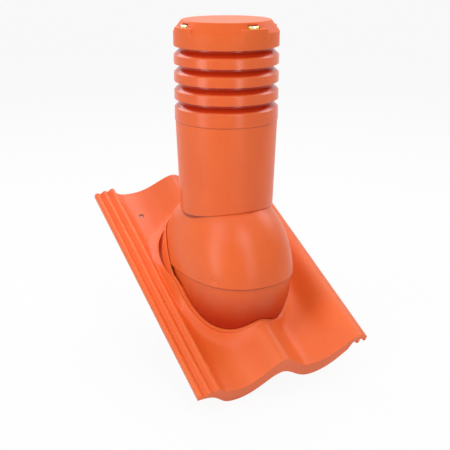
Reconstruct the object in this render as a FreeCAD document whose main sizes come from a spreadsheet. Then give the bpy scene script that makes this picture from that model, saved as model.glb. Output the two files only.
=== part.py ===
"""Roof tile vent: an interlocking plastic tile with a socket, a tilting ball hood,
a tapered casing round an insulated duct, and a louvred cowl with a rain cap.

Millimetres. X runs across the slope to the right as seen from the eaves, Y runs
level towards the ridge, Z is up along the upright duct. The origin is the centre
of the duct's lower end. The tile slopes at roof_pitch, low side towards -Y.
"""
import FreeCAD, Part
import math
import os
import Sketcher
from FreeCAD import Placement, Rotation, Vector

NODE_FOLDER = "parts"

# Driving dimensions: name, value, meaning
SIZES = [
    ("cap_radius", 80.0, "outer radius of the rain cap and of the louvre rings"),
    ("cap_shoulder_width", 12.5, "from the cap's edge in to its flat top"),
    ("cap_chamfer_drop", 16.5, "height of the cap's sloping shoulder"),
    ("cap_skirt_drop", 38.0, "height of the whole cap"),
    ("cap_wall", 2.5, "wall of the cap"),
    ("cap_turn", 4.0, "how far the cap is turned on its seat, in degrees"),
    ("cap_dimple_radius", 2.2, "mark at the middle of the cap"),
    ("boss_shelf_drop", 9.2, "top of the vial bosses below the cap's top"),
    ("boss_low_width", 50.8, "width of a vial boss at its foot"),
    ("boss_high_width", 42.8, "width of a vial boss at its top"),
    ("boss_depth", 14.0, "from the cap's edge in to the end of the vial bosses"),
    ("vial_radius", 3.1, "outer radius of a bubble vial"),
    ("vial_wall", 0.7, "wall of a bubble vial"),
    ("vial_length", 17.5, "length of a bubble vial"),
    ("vial_seat_inset", 8.4, "from the cap's edge in to a vial's axis"),
    ("vial_seat_drop", 8.2, "axis of a vial below the cap's top"),
    ("vial_clearance", 0.2, "play of a vial in its slot"),
    ("bubble_length", 5.0, "length of the bubble in a vial"),
    ("ring_pitch", 26.4, "height from one louvre ring to the next"),
    ("ring_face", 13.4, "height of a louvre ring's upright face"),
    ("ring_wall", 2.5, "wall of a louvre ring"),
    ("ring_drop", 50.7, "first ring's top edge below the cap's top"),
    ("ring_lip_inset", 9.5, "from a ring's face in to its inner lip"),
    ("ring_lip_rise", 17.6, "inner lip above the ring's top edge"),
    ("ring_count", 3, "louvre rings above the collar"),
    ("collar_drop", 149.6, "seam between collar and casing below the cap's top"),
    ("collar_deck", 3.0, "thickness of the deck that closes the casing"),
    ("collar_plug_depth", 8.0, "how far the collar plugs into the casing"),
    ("cage_clearance", 0.25, "play between the cage and what sits on it"),
    ("cage_wall", 6.0, "radial depth of a cage bar"),
    ("cage_hoop", 5.0, "height of the cage's end hoops"),
    ("cage_bar_width", 8.0, "width of a cage bar"),
    ("cage_bars", 8, "number of cage bars"),
    ("casing_step", 1.0, "how far the casing's top lies inside the collar's face"),
    ("casing_room", 19.2, "from the duct's outside to the casing's outside, at the foot"),
    ("casing_wall", 3.0, "wall of the casing"),
    ("casing_front_rise", 107.6, "casing's foot above the ball's centre, front and back"),
    ("casing_side_rise", 96.0, "casing's foot above the ball's centre, at the sides"),
    ("ball_drop", 391.0, "ball's centre below the cap's top"),
    ("ball_height", 100.0, "ball's centre above the duct's lower end"),
    ("ball_half_width", 90.0, "half width of the ball along the tilt axis"),
    ("ball_radius", 129.5, "radius of the ball about the tilt axis"),
    ("ball_crown_half", 5.4, "half width of the ball's straight crown"),
    ("ball_shoulder_radius", 76.3, "arc from the crown to the ball's sides"),
    ("ball_side_radius", 182.0, "flatter arc of the ball's sides"),
    ("shell_wall", 2.5, "wall of the ball shells"),
    ("slide_gap", 0.5, "gap between the upper and lower ball shells"),
    ("seam_rise", 4.0, "lower edge of the upper shell above the ball's centre"),
    ("lower_shell_rise", 50.0, "upper edge of the lower shell above the ball's centre"),
    ("rear_start", 60.0, "where both shells' edges start to climb, behind the ball's centre"),
    ("rear_climb", 28.0, "angle at which the edges climb at the back, in degrees"),
    ("neck_wall", 2.5, "wall of the neck on the upper shell"),
    ("neck_fit", 0.3, "play of the neck in the casing"),
    ("neck_length", 34.0, "how far the neck goes up into the casing"),
    ("neck_fillet", 2.0, "radius where the neck grows out of the ball"),
    ("screw_mark_radius", 7.2, "round mark for a locking screw"),
    ("screw_mark_line", 0.8, "width of the mark's groove"),
    ("screw_mark_depth", 0.6, "depth of the mark's groove"),
    ("screw_mark_turn", 32.0, "screw mark's place on the shoulder arc, in degrees"),
    ("screw_mark_angle", 9.0, "screw mark's angle above the ball's centre, in degrees"),
    ("duct_radius", 55.0, "outer radius of the inner duct"),
    ("duct_wall", 2.7, "wall of the inner duct"),
    ("duct_above_deck", 12.0, "how far the duct stands above the collar's deck"),
    ("duct_fit", 0.3, "play round the duct"),
    ("spigot_length", 45.0, "lower end of the duct, over which a hose goes"),
    ("spigot_bead", 2.0, "height of the bead that stops the hose"),
    ("spigot_bead_width", 3.0, "width of the bead's flat"),
    ("spacer_height", 8.0, "height of the ring that centres the duct in the neck"),
    ("foam_gap", 0.5, "play between the insulation and its neighbours"),
    ("roof_pitch", 25.75, "slope of the tile, in degrees"),
    ("tile_right", 151.0, "right edge of the tile from the middle plane"),
    ("tile_front", 208.0, "front edge of the tile, down the slope from the ball"),
    ("tile_back", 249.0, "back edge of the tile, up the slope from the ball"),
    ("head_setback", 20.0, "how far the crest ends before the ribs at the back"),
    ("head_lean", 18.0, "lean of the tile's back edge, in degrees"),
    ("tile_skin", 4.0, "thickness of the tile"),
    ("apron_wall", 4.0, "thickness of the tile's front face"),
    ("rib_first", 133.0, "outer interlock rib from the middle plane"),
    ("rib_pitch", 13.5, "distance between interlock ribs"),
    ("rib_half", 4.5, "half width of an interlock rib"),
    ("rib_depth", 3.5, "height of an interlock rib"),
    ("rib_top", 38.0, "outer rib's top below the tile's crest"),
    ("rib_step", 3.2, "how much higher each rib stands than the one outside it"),
    ("nib_width", 36.0, "width of a hanging nib"),
    ("nib_side", 78.0, "hanging nib's distance from the middle plane"),
    ("nib_drop", 30.0, "depth of a hanging nib below the tile's valley"),
    ("nib_thick", 12.0, "thickness of a hanging nib"),
    ("nib_inset", 34.0, "hanging nib from the tile's back edge"),
    ("nail_side", 72.0, "nail hole from the middle plane"),
    ("nail_inset", 66.0, "nail hole from the tile's back edge"),
    ("nail_radius", 2.7, "radius of the nail hole"),
    ("nail_lean", 2.5, "how far the nail hole leans out, clear of the cowl, in degrees"),
    ("tile_valley", 46.0, "deepest valley of the tile below its crest"),
    ("edge_drop", 6.0, "height of the tile's turned-down left edge"),
    ("edge_width", 3.0, "width of the tile's turned-down left edge"),
    ("lip_drop", 7.5, "foot of the tile's right lip below the crest"),
    ("lip_rise", 2.5, "top of the tile's right lip above the crest"),
    ("lip_wall", 3.5, "width of the tile's right lip"),
    ("lip_room", 9.0, "room between the right lip and the tooth beside it"),
    ("tooth_drop", 9.5, "foot of the tooth beside the right lip below the crest"),
    ("tooth_width", 4.5, "width of the tooth beside the right lip"),
    ("collar_gap", 2.0, "gap between the ball and the socket collar"),
    ("socket_wall", 3.0, "wall of the socket collar"),
    ("socket_side_drop", 21.0, "top of the socket collar below the crest, at the sides"),
    ("socket_lip", 2.5, "how far the socket collar stands above the tile in front"),
    ("socket_depth", 66.0, "foot of the socket collar below the tile's crest"),
    ("socket_ramp_start", 16.0, "where the collar's rim starts to drop towards the front"),
    ("socket_ramp_end", 60.0, "where the collar's rim has dropped to the valley"),
    ("flange_thick", 3.0, "thickness of the flanges"),
    ("gasket_thick", 2.0, "thickness of the flange gasket"),
    ("hole_gap", 0.4, "gap between the socket collar and the tile in front"),
    ("hole_slack", 16.0, "extra length of the tile's hole behind the ball"),
    ("screw_turn", 55.0, "corner screws' place on the shoulder arc, in degrees"),
    ("screw_radius", 2.0, "shank radius of a flange screw"),
    ("screw_head_radius", 4.0, "head radius of a flange screw"),
    ("screw_head_height", 2.6, "head height of a flange screw"),
    ("screw_length", 11.0, "how far a flange screw goes into its post"),
    ("post_radius", 5.5, "radius of a screw post under the tile"),
    ("wiper_height", 5.0, "height of the wiper seal on the lower shell"),
    ("wiper_gap", 0.2, "gap between the wiper seal and the upper shell"),
]

doc = FreeCAD.newDocument("roof_tile_vent")
sheet = doc.addObject("Spreadsheet::Sheet", "sizes")
for row, (name, value, meaning) in enumerate(SIZES, start=1):
    sheet.set("A%d" % row, name)
    sheet.set("B%d" % row, str(value))
    sheet.setAlias("B%d" % row, name)
    sheet.set("C%d" % row, meaning)
doc.recompute()


class Size:
    """A length together with the sheet expression that gives it."""

    def __init__(self, number, words):
        self.number = float(number)
        self.words = words

    def joined(self, other, sign, mine_first=True):
        if not isinstance(other, Size):
            other = Size(other, repr(other))
        left, right = (self, other) if mine_first else (other, self)
        words = "(%s %s %s)" % (left.words, sign, right.words)
        results = {
            "+": lambda: left.number + right.number,
            "-": lambda: left.number - right.number,
            "*": lambda: left.number * right.number,
            "/": lambda: left.number / right.number,
        }
        return Size(results[sign](), words)

    def __add__(self, other):
        return self.joined(other, "+")

    def __radd__(self, other):
        return self.joined(other, "+", False)

    def __sub__(self, other):
        return self.joined(other, "-")

    def __rsub__(self, other):
        return self.joined(other, "-", False)

    def __mul__(self, other):
        return self.joined(other, "*")

    def __rmul__(self, other):
        return self.joined(other, "*", False)

    def __truediv__(self, other):
        return self.joined(other, "/")

    def __neg__(self):
        return self.joined(0, "-", False)


def size(name):
    """A cell of the sheet, for sketches and features that are bound to it."""
    return Size(sheet.get(name), "sizes." + name)


def num(name):
    """A cell of the sheet as a plain number, for shapes worked out in code."""
    return float(sheet.get(name))


def smaller(first, second):
    """The smaller of two sizes, on the sheet as well."""
    words = "min(%s; %s)" % (first.words, second.words)
    return Size(min(first.number, second.number), words)


# Heights that several pieces share, measured up from the duct's lower end
TOP = size("ball_height") + size("ball_drop")
CAP_FOOT = TOP - size("cap_skirt_drop")
SEAM = TOP - size("collar_drop")
DECK_TOP = SEAM + size("collar_deck")
BALL = size("ball_height")
LIP_RADIUS = size("cap_radius") - size("ring_lip_inset")
CAGE_RADIUS = LIP_RADIUS - size("ring_wall") + 0.5 - size("cage_clearance")
CASING_LOW = size("duct_radius") + size("casing_room")
CASING_HIGH = size("cap_radius") - size("casing_step")
CASING_FOOT = BALL + size("casing_front_rise")


def casing_inside(height):
    """Inner radius of the tapered casing at a height."""
    share = (height - CASING_FOOT) / (SEAM - CASING_FOOT)
    return CASING_LOW + (CASING_HIGH - CASING_LOW) * share - size("casing_wall")


NECK_TOP = CASING_FOOT + size("neck_length")
NECK_RADIUS = smaller(casing_inside(CASING_FOOT), casing_inside(NECK_TOP)) - size("neck_fit")

pieces = {}


def keep(label, thing):
    """Name a finished piece; its label is also the name of its file."""
    thing.Label = label
    pieces[label] = thing
    return thing


def plane_of(body, role):
    return [f for f in body.Origin.OriginFeatures if f.Role == role][0]


def bound_sketch(body, role, outlines):
    """A sketch of closed outlines on one of the body's origin planes, each corner bound."""
    sketch = body.newObject("Sketcher::SketchObject", "outline")
    sketch.AttachmentSupport = [(plane_of(body, role), "")]
    sketch.MapMode = "FlatFace"
    first = 0
    for corners in outlines:
        spots = [Vector(across.number, up.number, 0) for across, up in corners]
        count = len(spots)
        for i in range(count):
            sketch.addGeometry(Part.LineSegment(spots[i], spots[(i + 1) % count]), False)
        for i in range(count):
            joint = (first + i, 2, first + (i + 1) % count, 1)
            sketch.addConstraint(Sketcher.Constraint("Coincident", *joint))
        for i, (across, up) in enumerate(corners):
            for kind, value in (("DistanceX", across), ("DistanceY", up)):
                rule = Sketcher.Constraint(kind, -1, 1, first + i, 1, value.number)
                where = sketch.addConstraint(rule)
                sketch.setExpression("Constraints[%d]" % where, value.words)
        first += count
    return sketch


def fixed(value):
    """A number that no size changes, such as the axis of a turned piece."""
    return Size(value, repr(float(value)))


AXIS = fixed(0)


def turned(label, corners):
    """A body turned about the duct's axis from one closed outline (radius, height)."""
    body = doc.addObject("PartDesign::Body", label)
    sketch = bound_sketch(body, "XZ_Plane", [corners])
    turn = body.newObject("PartDesign::Revolution", "turn")
    turn.Profile = sketch
    turn.ReferenceAxis = (sketch, ["V_Axis"])
    turn.Angle = 360
    body.Tip = turn
    return keep(label, body)


def repeated(body, feature, count_words, angle=360):
    """Repeat one feature of a body round the duct's axis, clockwise from above."""
    ring = body.newObject("PartDesign::PolarPattern", "ring")
    ring.Originals = [feature]
    ring.Axis = (plane_of(body, "Z_Axis"), [""])
    ring.Reversed = True
    ring.Angle = angle
    ring.setExpression("Occurrences", count_words)
    body.Tip = ring
    return ring


# Louvre cowl
#
# Each ring is a bell: an upright face, then a hollow flare that rises inwards behind
# the face of the ring above, so that air passes and rain runs off.
FLARE = [(0.2, 0.42), (0.4, 0.82), (0.55, 0.94)]


def flare(top):
    """Outer corners of the flare above a ring's top edge: (radius, height) pairs."""
    drop = size("ring_lip_inset")
    line = [(size("cap_radius"), top)]
    for up, inward in FLARE:
        line.append((size("cap_radius") - drop * inward, top + size("ring_lip_rise") * up))
    line.append((LIP_RADIUS, top + size("ring_lip_rise")))
    return line


def flare_inside(top):
    """The same flare one wall further in, from the lip back to the face."""
    wall = size("ring_wall")
    back = [(radius - wall, height - wall * 0.4) for radius, height in reversed(flare(top)[:-1])]
    return [(LIP_RADIUS - wall + 0.5, top + size("ring_lip_rise"))] + back


def louvre_ring(label, step):
    top = TOP - size("ring_drop") - size("ring_pitch") * step
    foot = top - size("ring_face")
    face = size("cap_radius")
    inside = face - size("ring_wall")
    corners = [(inside, foot), (face, foot)] + flare(top) + flare_inside(top)
    return turned(label, corners)


for step, place in enumerate(("upper", "middle", "lower")):
    louvre_ring("louvre_ring_" + place, step)

collar_top = TOP - size("ring_drop") - size("ring_pitch") * size("ring_count")
collar_inside = size("cap_radius") - size("ring_wall")
plug_radius = CASING_HIGH - size("casing_wall") - size("cage_clearance") - size("neck_fit")
turned(
    "louvre_collar",
    [
        (size("duct_radius") + size("duct_fit"), SEAM),
        (plug_radius - size("ring_wall"), SEAM),
        (plug_radius - size("ring_wall"), SEAM - size("collar_plug_depth")),
        (plug_radius, SEAM - size("collar_plug_depth")),
        (plug_radius, SEAM),
        (size("cap_radius"), SEAM),
    ]
    + flare(collar_top)
    + flare_inside(collar_top)
    + [(collar_inside, DECK_TOP), (size("duct_radius") + size("duct_fit"), DECK_TOP)],
)


def louvre_cage():
    """Upright bars between two hoops; the rings' lips clip round the bars."""
    low = DECK_TOP
    high = TOP - size("cap_wall") - size("cage_clearance")
    inner = CAGE_RADIUS - size("cage_wall")
    body = turned(
        "louvre_cage",
        [
            (inner, low),
            (CAGE_RADIUS, low),
            (CAGE_RADIUS, high - 3.5),
            (CAGE_RADIUS - 2.5, high),
            (inner, high),
        ],
    )
    half = size("cage_pane_half")
    window = bound_sketch(
        body,
        "XZ_Plane",
        [
            [
                (-half, low + size("cage_hoop")),
                (half, low + size("cage_hoop")),
                (half, high - size("cage_hoop")),
                (-half, high - size("cage_hoop")),
            ]
        ],
    )
    pane = body.newObject("PartDesign::Pocket", "pane")
    pane.Profile = window
    pane.Type = "Length"
    pane.setExpression("Length", "sizes.cap_radius")
    repeated(body, pane, "sizes.cage_bars")
    return body


# Half the opening between two bars, worked out on the sheet from the bars' number
last = len(SIZES) + 1
sheet.set("A%d" % last, "cage_pane_half")
sheet.set("B%d" % last, "=(cap_radius - ring_lip_inset) * sin(180deg / cage_bars) - cage_bar_width / 2")
sheet.setAlias("B%d" % last, "cage_pane_half")
doc.recompute()
louvre_cage()


# Rain cap with its four vial bosses
def rain_cap():
    rim = size("cap_radius")
    disc = rim - size("cap_shoulder_width")
    wall = size("cap_wall")
    shoulder = TOP - size("cap_chamfer_drop")
    shelf = TOP - size("boss_shelf_drop")
    body = turned(
        "rain_cap",
        [
            (AXIS, TOP),
            (disc, TOP),
            (rim, shoulder),
            (rim, CAP_FOOT),
            (rim - wall, CAP_FOOT),
            (rim - wall, shoulder - wall * 0.4),
            (disc - wall * 0.5, TOP - wall),
            (AXIS, TOP - wall),
        ],
    )
    foot = size("boss_low_width") * 0.5
    head = size("boss_high_width") * 0.5
    low = shoulder - 1.0
    outline = [(-foot, low), (foot, low), (head, shelf), (-head, shelf)]
    boss_shape = bound_sketch(body, "XZ_Plane", [outline])
    boss_shape.AttachmentOffset = Placement(Vector(0, 0, num("cap_radius") - num("boss_depth")), Rotation())
    boss_shape.setExpression("AttachmentOffset.Base.z", "sizes.cap_radius - sizes.boss_depth")
    boss = body.newObject("PartDesign::Pad", "boss")
    boss.Profile = boss_shape
    boss.setExpression("Length", "sizes.cap_radius")
    repeated(body, boss, "4")
    wide = rim * 2.5
    trim_low = CAP_FOOT - 1.0
    trim_corners = [(rim, trim_low), (wide, trim_low), (wide, TOP + 1.0), (rim, TOP + 1.0)]
    trim_shape = bound_sketch(body, "XZ_Plane", [trim_corners])
    trim = body.newObject("PartDesign::Groove", "trim")
    trim.Profile = trim_shape
    trim.ReferenceAxis = (trim_shape, ["V_Axis"])
    trim.Angle = 360
    body.Tip = trim
    reach = size("vial_length") * 0.5 + size("vial_clearance")
    slot_low = TOP - size("vial_seat_drop") - size("vial_radius") - size("vial_clearance")
    slot_shape = bound_sketch(
        body,
        "XZ_Plane",
        [[(-reach, slot_low), (reach, slot_low), (reach, TOP + 1.0), (-reach, TOP + 1.0)]],
    )
    slot_shape.AttachmentOffset = Placement(Vector(0, 0, num("cap_radius") - num("vial_seat_inset")), Rotation())
    slot_start = "sizes.cap_radius - sizes.vial_seat_inset - sizes.vial_radius - sizes.vial_clearance"
    slot_shape.setExpression("AttachmentOffset.Base.z", slot_start)
    slot = body.newObject("PartDesign::Pocket", "slot")
    slot.Profile = slot_shape
    slot.Type = "Length"
    slot.Reversed = True
    slot.setExpression("Length", "2 * sizes.vial_radius + 2 * sizes.vial_clearance")
    repeated(body, slot, "2", 90)
    dimple = size("cap_dimple_radius")
    mark_corners = [(AXIS, TOP - 0.8), (dimple, TOP), (dimple, TOP + 1.0), (AXIS, TOP + 1.0)]
    mark_shape = bound_sketch(body, "XZ_Plane", [mark_corners])
    mark = body.newObject("PartDesign::Groove", "mark")
    mark.Profile = mark_shape
    mark.ReferenceAxis = (mark_shape, ["V_Axis"])
    mark.Angle = 360
    body.Tip = mark
    body.setExpression("Placement.Rotation.Angle", "sizes.cap_turn")
    body.Placement = Placement(Vector(0, 0, 0), Rotation(Vector(0, 0, 1), num("cap_turn")))
    return body


rain_cap()


# Bubble vials: a clear tube with a filling, lying across the front and the left boss
def vial_place(quarter_turns):
    """Vial's own frame: its axis is Z; it lies level and square to its boss."""
    lie = Rotation(Vector(0, 1, 0), 90)
    height = TOP.number - num("vial_seat_drop")
    out = Placement(Vector(0, num("vial_seat_inset") - num("cap_radius"), height), lie)
    turn = Placement(Vector(0, 0, 0), Rotation(Vector(0, 0, 1), num("cap_turn") - 90 * quarter_turns))
    return turn.multiply(out)


def vial(place, quarter_turns):
    half = size("vial_length") * 0.5
    outer = size("vial_radius")
    inner = outer - size("vial_wall")
    tube = turned(
        "level_vial_" + place,
        [
            (AXIS, -half),
            (outer, -half),
            (outer, half),
            (AXIS, half),
            (AXIS, half - size("vial_wall")),
            (inner, half - size("vial_wall")),
            (inner, size("vial_wall") - half),
            (AXIS, size("vial_wall") - half),
        ],
    )
    tube.Placement = vial_place(quarter_turns)
    end = half - size("vial_wall") - 0.05
    bubble = size("bubble_length") * 0.5
    filling = turned(
        "vial_fluid_" + place,
        [
            (AXIS, -end),
            (inner - 0.05, -end),
            (inner - 0.05, end),
            (AXIS, end),
            (AXIS, bubble),
            (inner - 0.6, bubble * 0.6),
            (inner - 0.6, bubble * -0.6),
            (AXIS, -bubble),
        ],
    )
    filling.Placement = vial_place(quarter_turns)


vial("front", 0)
vial("left", 1)


# Duct with a bead that stops the hose, its insulation and the ring that centres it
bead = size("spigot_bead")
bead_end = size("spigot_length") + bead + size("spigot_bead_width")
turned(
    "inner_duct",
    [
        (size("duct_radius") - size("duct_wall"), AXIS),
        (size("duct_radius"), AXIS),
        (size("duct_radius"), size("spigot_length")),
        (size("duct_radius") + bead, size("spigot_length") + bead),
        (size("duct_radius") + bead, bead_end),
        (size("duct_radius"), bead_end + bead),
        (size("duct_radius"), DECK_TOP + size("duct_above_deck")),
        (size("duct_radius") - size("duct_wall"), DECK_TOP + size("duct_above_deck")),
    ],
)

FOAM_LOW = NECK_TOP + size("foam_gap")
FOAM_HIGH = SEAM - size("collar_plug_depth") - size("foam_gap")
turned(
    "insulation_sleeve",
    [
        (size("duct_radius") + size("foam_gap"), FOAM_LOW),
        (casing_inside(FOAM_LOW) - size("foam_gap"), FOAM_LOW),
        (casing_inside(FOAM_HIGH) - size("foam_gap"), FOAM_HIGH),
        (size("duct_radius") + size("foam_gap"), FOAM_HIGH),
    ],
)
turned(
    "neck_spacer",
    [
        (size("duct_radius") + size("duct_fit"), NECK_TOP - size("spacer_height")),
        (NECK_RADIUS - size("neck_wall") - size("duct_fit"), NECK_TOP - size("spacer_height")),
        (NECK_RADIUS - size("neck_wall") - size("duct_fit"), NECK_TOP),
        (size("duct_radius") + size("duct_fit"), NECK_TOP),
    ],
)


# Shapes turned about the tilt axis
#
# The ball, its shells and the socket are one oval turned about the level axis across
# the slope, so that the hood can tilt inside the socket without touching it. The oval
# has flat ends, a long arc on each side, a shoulder arc and a short straight crown.
def side_turn():
    """Where a side arc hands over to the shoulder arc, and the end disc's radius."""
    rise = num("ball_radius") - num("ball_shoulder_radius")
    reach = num("ball_side_radius") - num("ball_half_width") + num("ball_crown_half")
    lift = math.sqrt((num("ball_side_radius") - num("ball_shoulder_radius")) ** 2 - reach ** 2)
    return math.atan2(lift, reach), rise - lift


def on_shoulder(outset, turn):
    """Point (along the axis, away from it) of the shoulder arc at an angle."""
    reach = num("ball_shoulder_radius") + outset
    rise = num("ball_radius") - num("ball_shoulder_radius")
    return num("ball_crown_half") + reach * math.cos(turn), rise + reach * math.sin(turn)


def on_side(outset, turn):
    """Point (along the axis, away from it) of the side arc at an angle."""
    reach = num("ball_side_radius") + outset
    middle = num("ball_half_width") - num("ball_side_radius")
    return middle + reach * math.cos(turn), side_turn()[1] + reach * math.sin(turn)


def half_oval(outset, spot):
    """Edges of half the oval from its left end to its right end; spot places a point."""
    change = side_turn()[0]
    crown = (change + math.pi / 2) / 2

    def arc(points, mirror):
        return Part.Arc(*[spot(mirror * along, out) for along, out in points]).toShape()

    sides = [on_side(outset, 0), on_side(outset, change / 2), on_side(outset, change)]
    shoulder = [on_side(outset, change), on_shoulder(outset, crown), on_shoulder(outset, math.pi / 2)]
    top = on_shoulder(outset, math.pi / 2)
    band = Part.LineSegment(spot(-top[0], top[1]), spot(top[0], top[1])).toShape()
    return [arc(sides, -1), arc(shoulder, -1), band, arc(shoulder, 1), arc(sides, 1)]


def line_between(spots):
    return [Part.LineSegment(a, b).toShape() for a, b in zip(spots, spots[1:])]


def face_of(edges):
    return Part.Face(Part.Wire(Part.__sortEdges__(edges)))


def ball(outset):
    """The ball's outer surface moved out by outset; a negative outset moves it in."""

    def spot(along, out):
        return Vector(along, 0, out)

    end, disc = on_side(outset, 0)
    shaft = line_between([spot(end, disc), spot(end, 0), spot(-end, 0), spot(-end, disc)])
    face = face_of(half_oval(outset, spot) + shaft)
    return face.revolve(Vector(0, 0, 0), Vector(1, 0, 0), 360)


def block(low, high):
    """An upright box between two corners."""
    span = [b - a for a, b in zip(low, high)]
    return Part.makeBox(span[0], span[1], span[2], Vector(*low))


def level(shape):
    """Turn a shape from the upright frame to the tile's frame, both round the ball."""
    turned_shape = shape.copy()
    turned_shape.rotate(Vector(0, 0, 0), Vector(1, 0, 0), -num("roof_pitch"))
    return turned_shape


def placed(label, shape, pitch=0.0):
    """Keep a shape that was worked out round the ball's centre."""
    solid = shape.removeSplitter()
    if len(solid.Solids) == 1:
        solid = solid.Solids[0]
    thing = doc.addObject("Part::Feature", label)
    thing.Shape = solid
    thing.Placement = Placement(Vector(0, 0, num("ball_height")), Rotation(Vector(1, 0, 0), pitch))
    return keep(label, thing)


FAR = 4 * num("ball_radius")


def edge_line(rise):
    """Edge of a ball shell seen from the side: level, then climbing behind the ball."""
    start = num("rear_start")
    top = rise + (FAR - start) * math.tan(math.radians(num("rear_climb")))
    return [(-FAR, rise), (start, rise), (FAR, top)]


def between(low_line, high_line):
    """Everything between two edge lines, right across the roof."""
    spots = [Vector(-FAR, y, z) for y, z in low_line + high_line[::-1]]
    return face_of(line_between(spots + spots[:1])).extrude(Vector(2 * FAR, 0, 0))


BOTTOM_LINE = [(-FAR, -FAR), (FAR, -FAR)]
TOP_LINE = [(-FAR, 2 * FAR), (FAR, 2 * FAR)]


# Casing: a tapered tube whose foot is cut to sit over the ball
def saddle():
    """Barrel about the tilt axis that meets the casing's foot at both stated rises."""
    side = CASING_LOW.number
    crest = math.hypot(num("casing_front_rise"), side)
    flank = num("casing_side_rise")
    middle = (crest ** 2 - side ** 2 - flank ** 2) / (2 * (crest - flank))
    arc_radius = crest - middle
    end = side + 4
    end_out = middle + math.sqrt(arc_radius ** 2 - end ** 2)
    arc = Part.Arc(Vector(-end, 0, end_out), Vector(0, 0, crest), Vector(end, 0, end_out)).toShape()
    corners = [Vector(end, 0, end_out), Vector(end, 0, 0), Vector(-end, 0, 0), Vector(-end, 0, end_out)]
    shaft = line_between(corners)
    return face_of([arc] + shaft).revolve(Vector(0, 0, 0), Vector(1, 0, 0), 360)


def casing_tube():
    top = num("ball_drop") - num("collar_drop")
    wall = num("casing_wall")
    low_inside = casing_inside(BALL).number
    high_inside = casing_inside(SEAM).number
    outer = Part.makeCone(low_inside + wall, high_inside + wall, top)
    inner = Part.makeCone(low_inside, high_inside, top)
    placed("casing_tube", outer.cut(inner).cut(saddle()))


casing_tube()


# Upper ball shell with its neck
def upper_shell():
    wall = num("shell_wall")
    neck_radius = NECK_RADIUS.number
    neck_top = num("casing_front_rise") + num("neck_length")
    neck = Part.makeCylinder(neck_radius, neck_top)
    outside = ball(0).fuse(neck)
    outside = outside.cut(between(BOTTOM_LINE, edge_line(num("seam_rise"))))
    roots = [e for e in outside.Edges if is_neck_root(e, neck_radius, neck_top)]
    outside = outside.makeFillet(num("neck_fillet"), roots)
    shell = outside.cut(ball(-wall))
    shell = shell.cut(Part.makeCylinder(neck_radius - num("neck_wall"), neck_top))
    for side in (-1, 1):
        for tool in screw_mark(side):
            shell = shell.cut(tool)
    placed("upper_shell", shell)


def is_neck_root(edge, neck_radius, neck_top):
    """True for the edges where the neck grows out of the ball."""
    ends = [vertex.Point for vertex in edge.Vertexes]
    on_neck = all(abs(math.hypot(end.x, end.y) - neck_radius) < 0.01 for end in ends)
    return on_neck and edge.BoundBox.ZMax < neck_top - 1


def screw_mark(side):
    """Cutting tools of a round mark with a pilot dimple, square to the ball's surface."""
    turn = math.radians(num("screw_mark_turn"))
    angle = math.radians(num("screw_mark_angle"))
    along, radius = on_shoulder(0, turn)
    spot = Vector(side * along, -radius * math.cos(angle), radius * math.sin(angle))
    out = math.sin(turn)
    normal = Vector(side * math.cos(turn), -out * math.cos(angle), out * math.sin(angle))
    mark = num("screw_mark_radius")
    deep = num("screw_mark_depth")
    ring = Part.makeCylinder(mark, 6, spot - normal * deep, normal)
    ring = ring.cut(Part.makeCylinder(mark - num("screw_mark_line"), 6, spot - normal * deep, normal))
    dimple = Part.makeCone(0.3, 1.5, 3 * deep, spot - normal * (2 * deep), normal)
    return ring, dimple


upper_shell()


# Tile
#
# Both lines run from the ribs to the right, as (across, height) measured from the crest.
TILE_LINE = [
    (-92, -42.5),
    (-76, -46),
    (-54, -43),
    (-33, -28),
    (-2, 0),
    (23, -15),
    (48, -31.5),
    (74, -28.6),
    (98, -17),
    (119, 3),
    (137, 9.5),
]
APRON_LINE = [
    (-106, -54),
    (-88, -69.5),
    (-72, -74.2),
    (-50, -70),
    (-29, -56),
    (4, -33),
    (28, -45),
    (52, -59),
    (74, -59),
    (102, -43.5),
    (121.5, -21),
]
VALLEY = num("tile_valley")


def along_slope(face, front, back):
    """Extrude a section face in the XZ plane of the tile's frame, front to back."""
    solid = face.extrude(Vector(0, back + front, 0))
    solid.translate(Vector(0, -front, 0))
    return solid


def smooth(spots):
    curve = Part.BSplineCurve()
    curve.interpolate([Vector(x, 0, z) for x, z in spots])
    return curve.toShape()


def straight(spots):
    return line_between([Vector(x, 0, z) for x, z in spots])


def ribs():
    """Tops of three rounded interlock ribs, and the inner foot where the wave starts."""
    half = num("rib_half")
    edges = []
    foot = None
    for i in range(3):
        middle = -num("rib_first") + num("rib_pitch") * i
        top = -num("rib_top") + num("rib_step") * i
        low = top - num("rib_depth")
        if foot:
            edges += straight([foot, (middle - half, low)])
        spots = [Vector(middle - half, 0, low), Vector(middle, 0, top), Vector(middle + half, 0, low)]
        edges.append(Part.Arc(*spots).toShape())
        foot = (middle + half, low)
    return edges, foot


RIBS, FOOT = ribs()
LEFT = (-num("rib_first") - num("rib_half"), -num("rib_top") - num("rib_depth"))


def wave(lift=0.0):
    """The tile's line from the ribs to the right lip, moved up by lift."""
    line = [FOOT] + TILE_LINE + [(num("tile_right"), num("lip_rise"))]
    return [(x, z + lift) for x, z in line]


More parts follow.
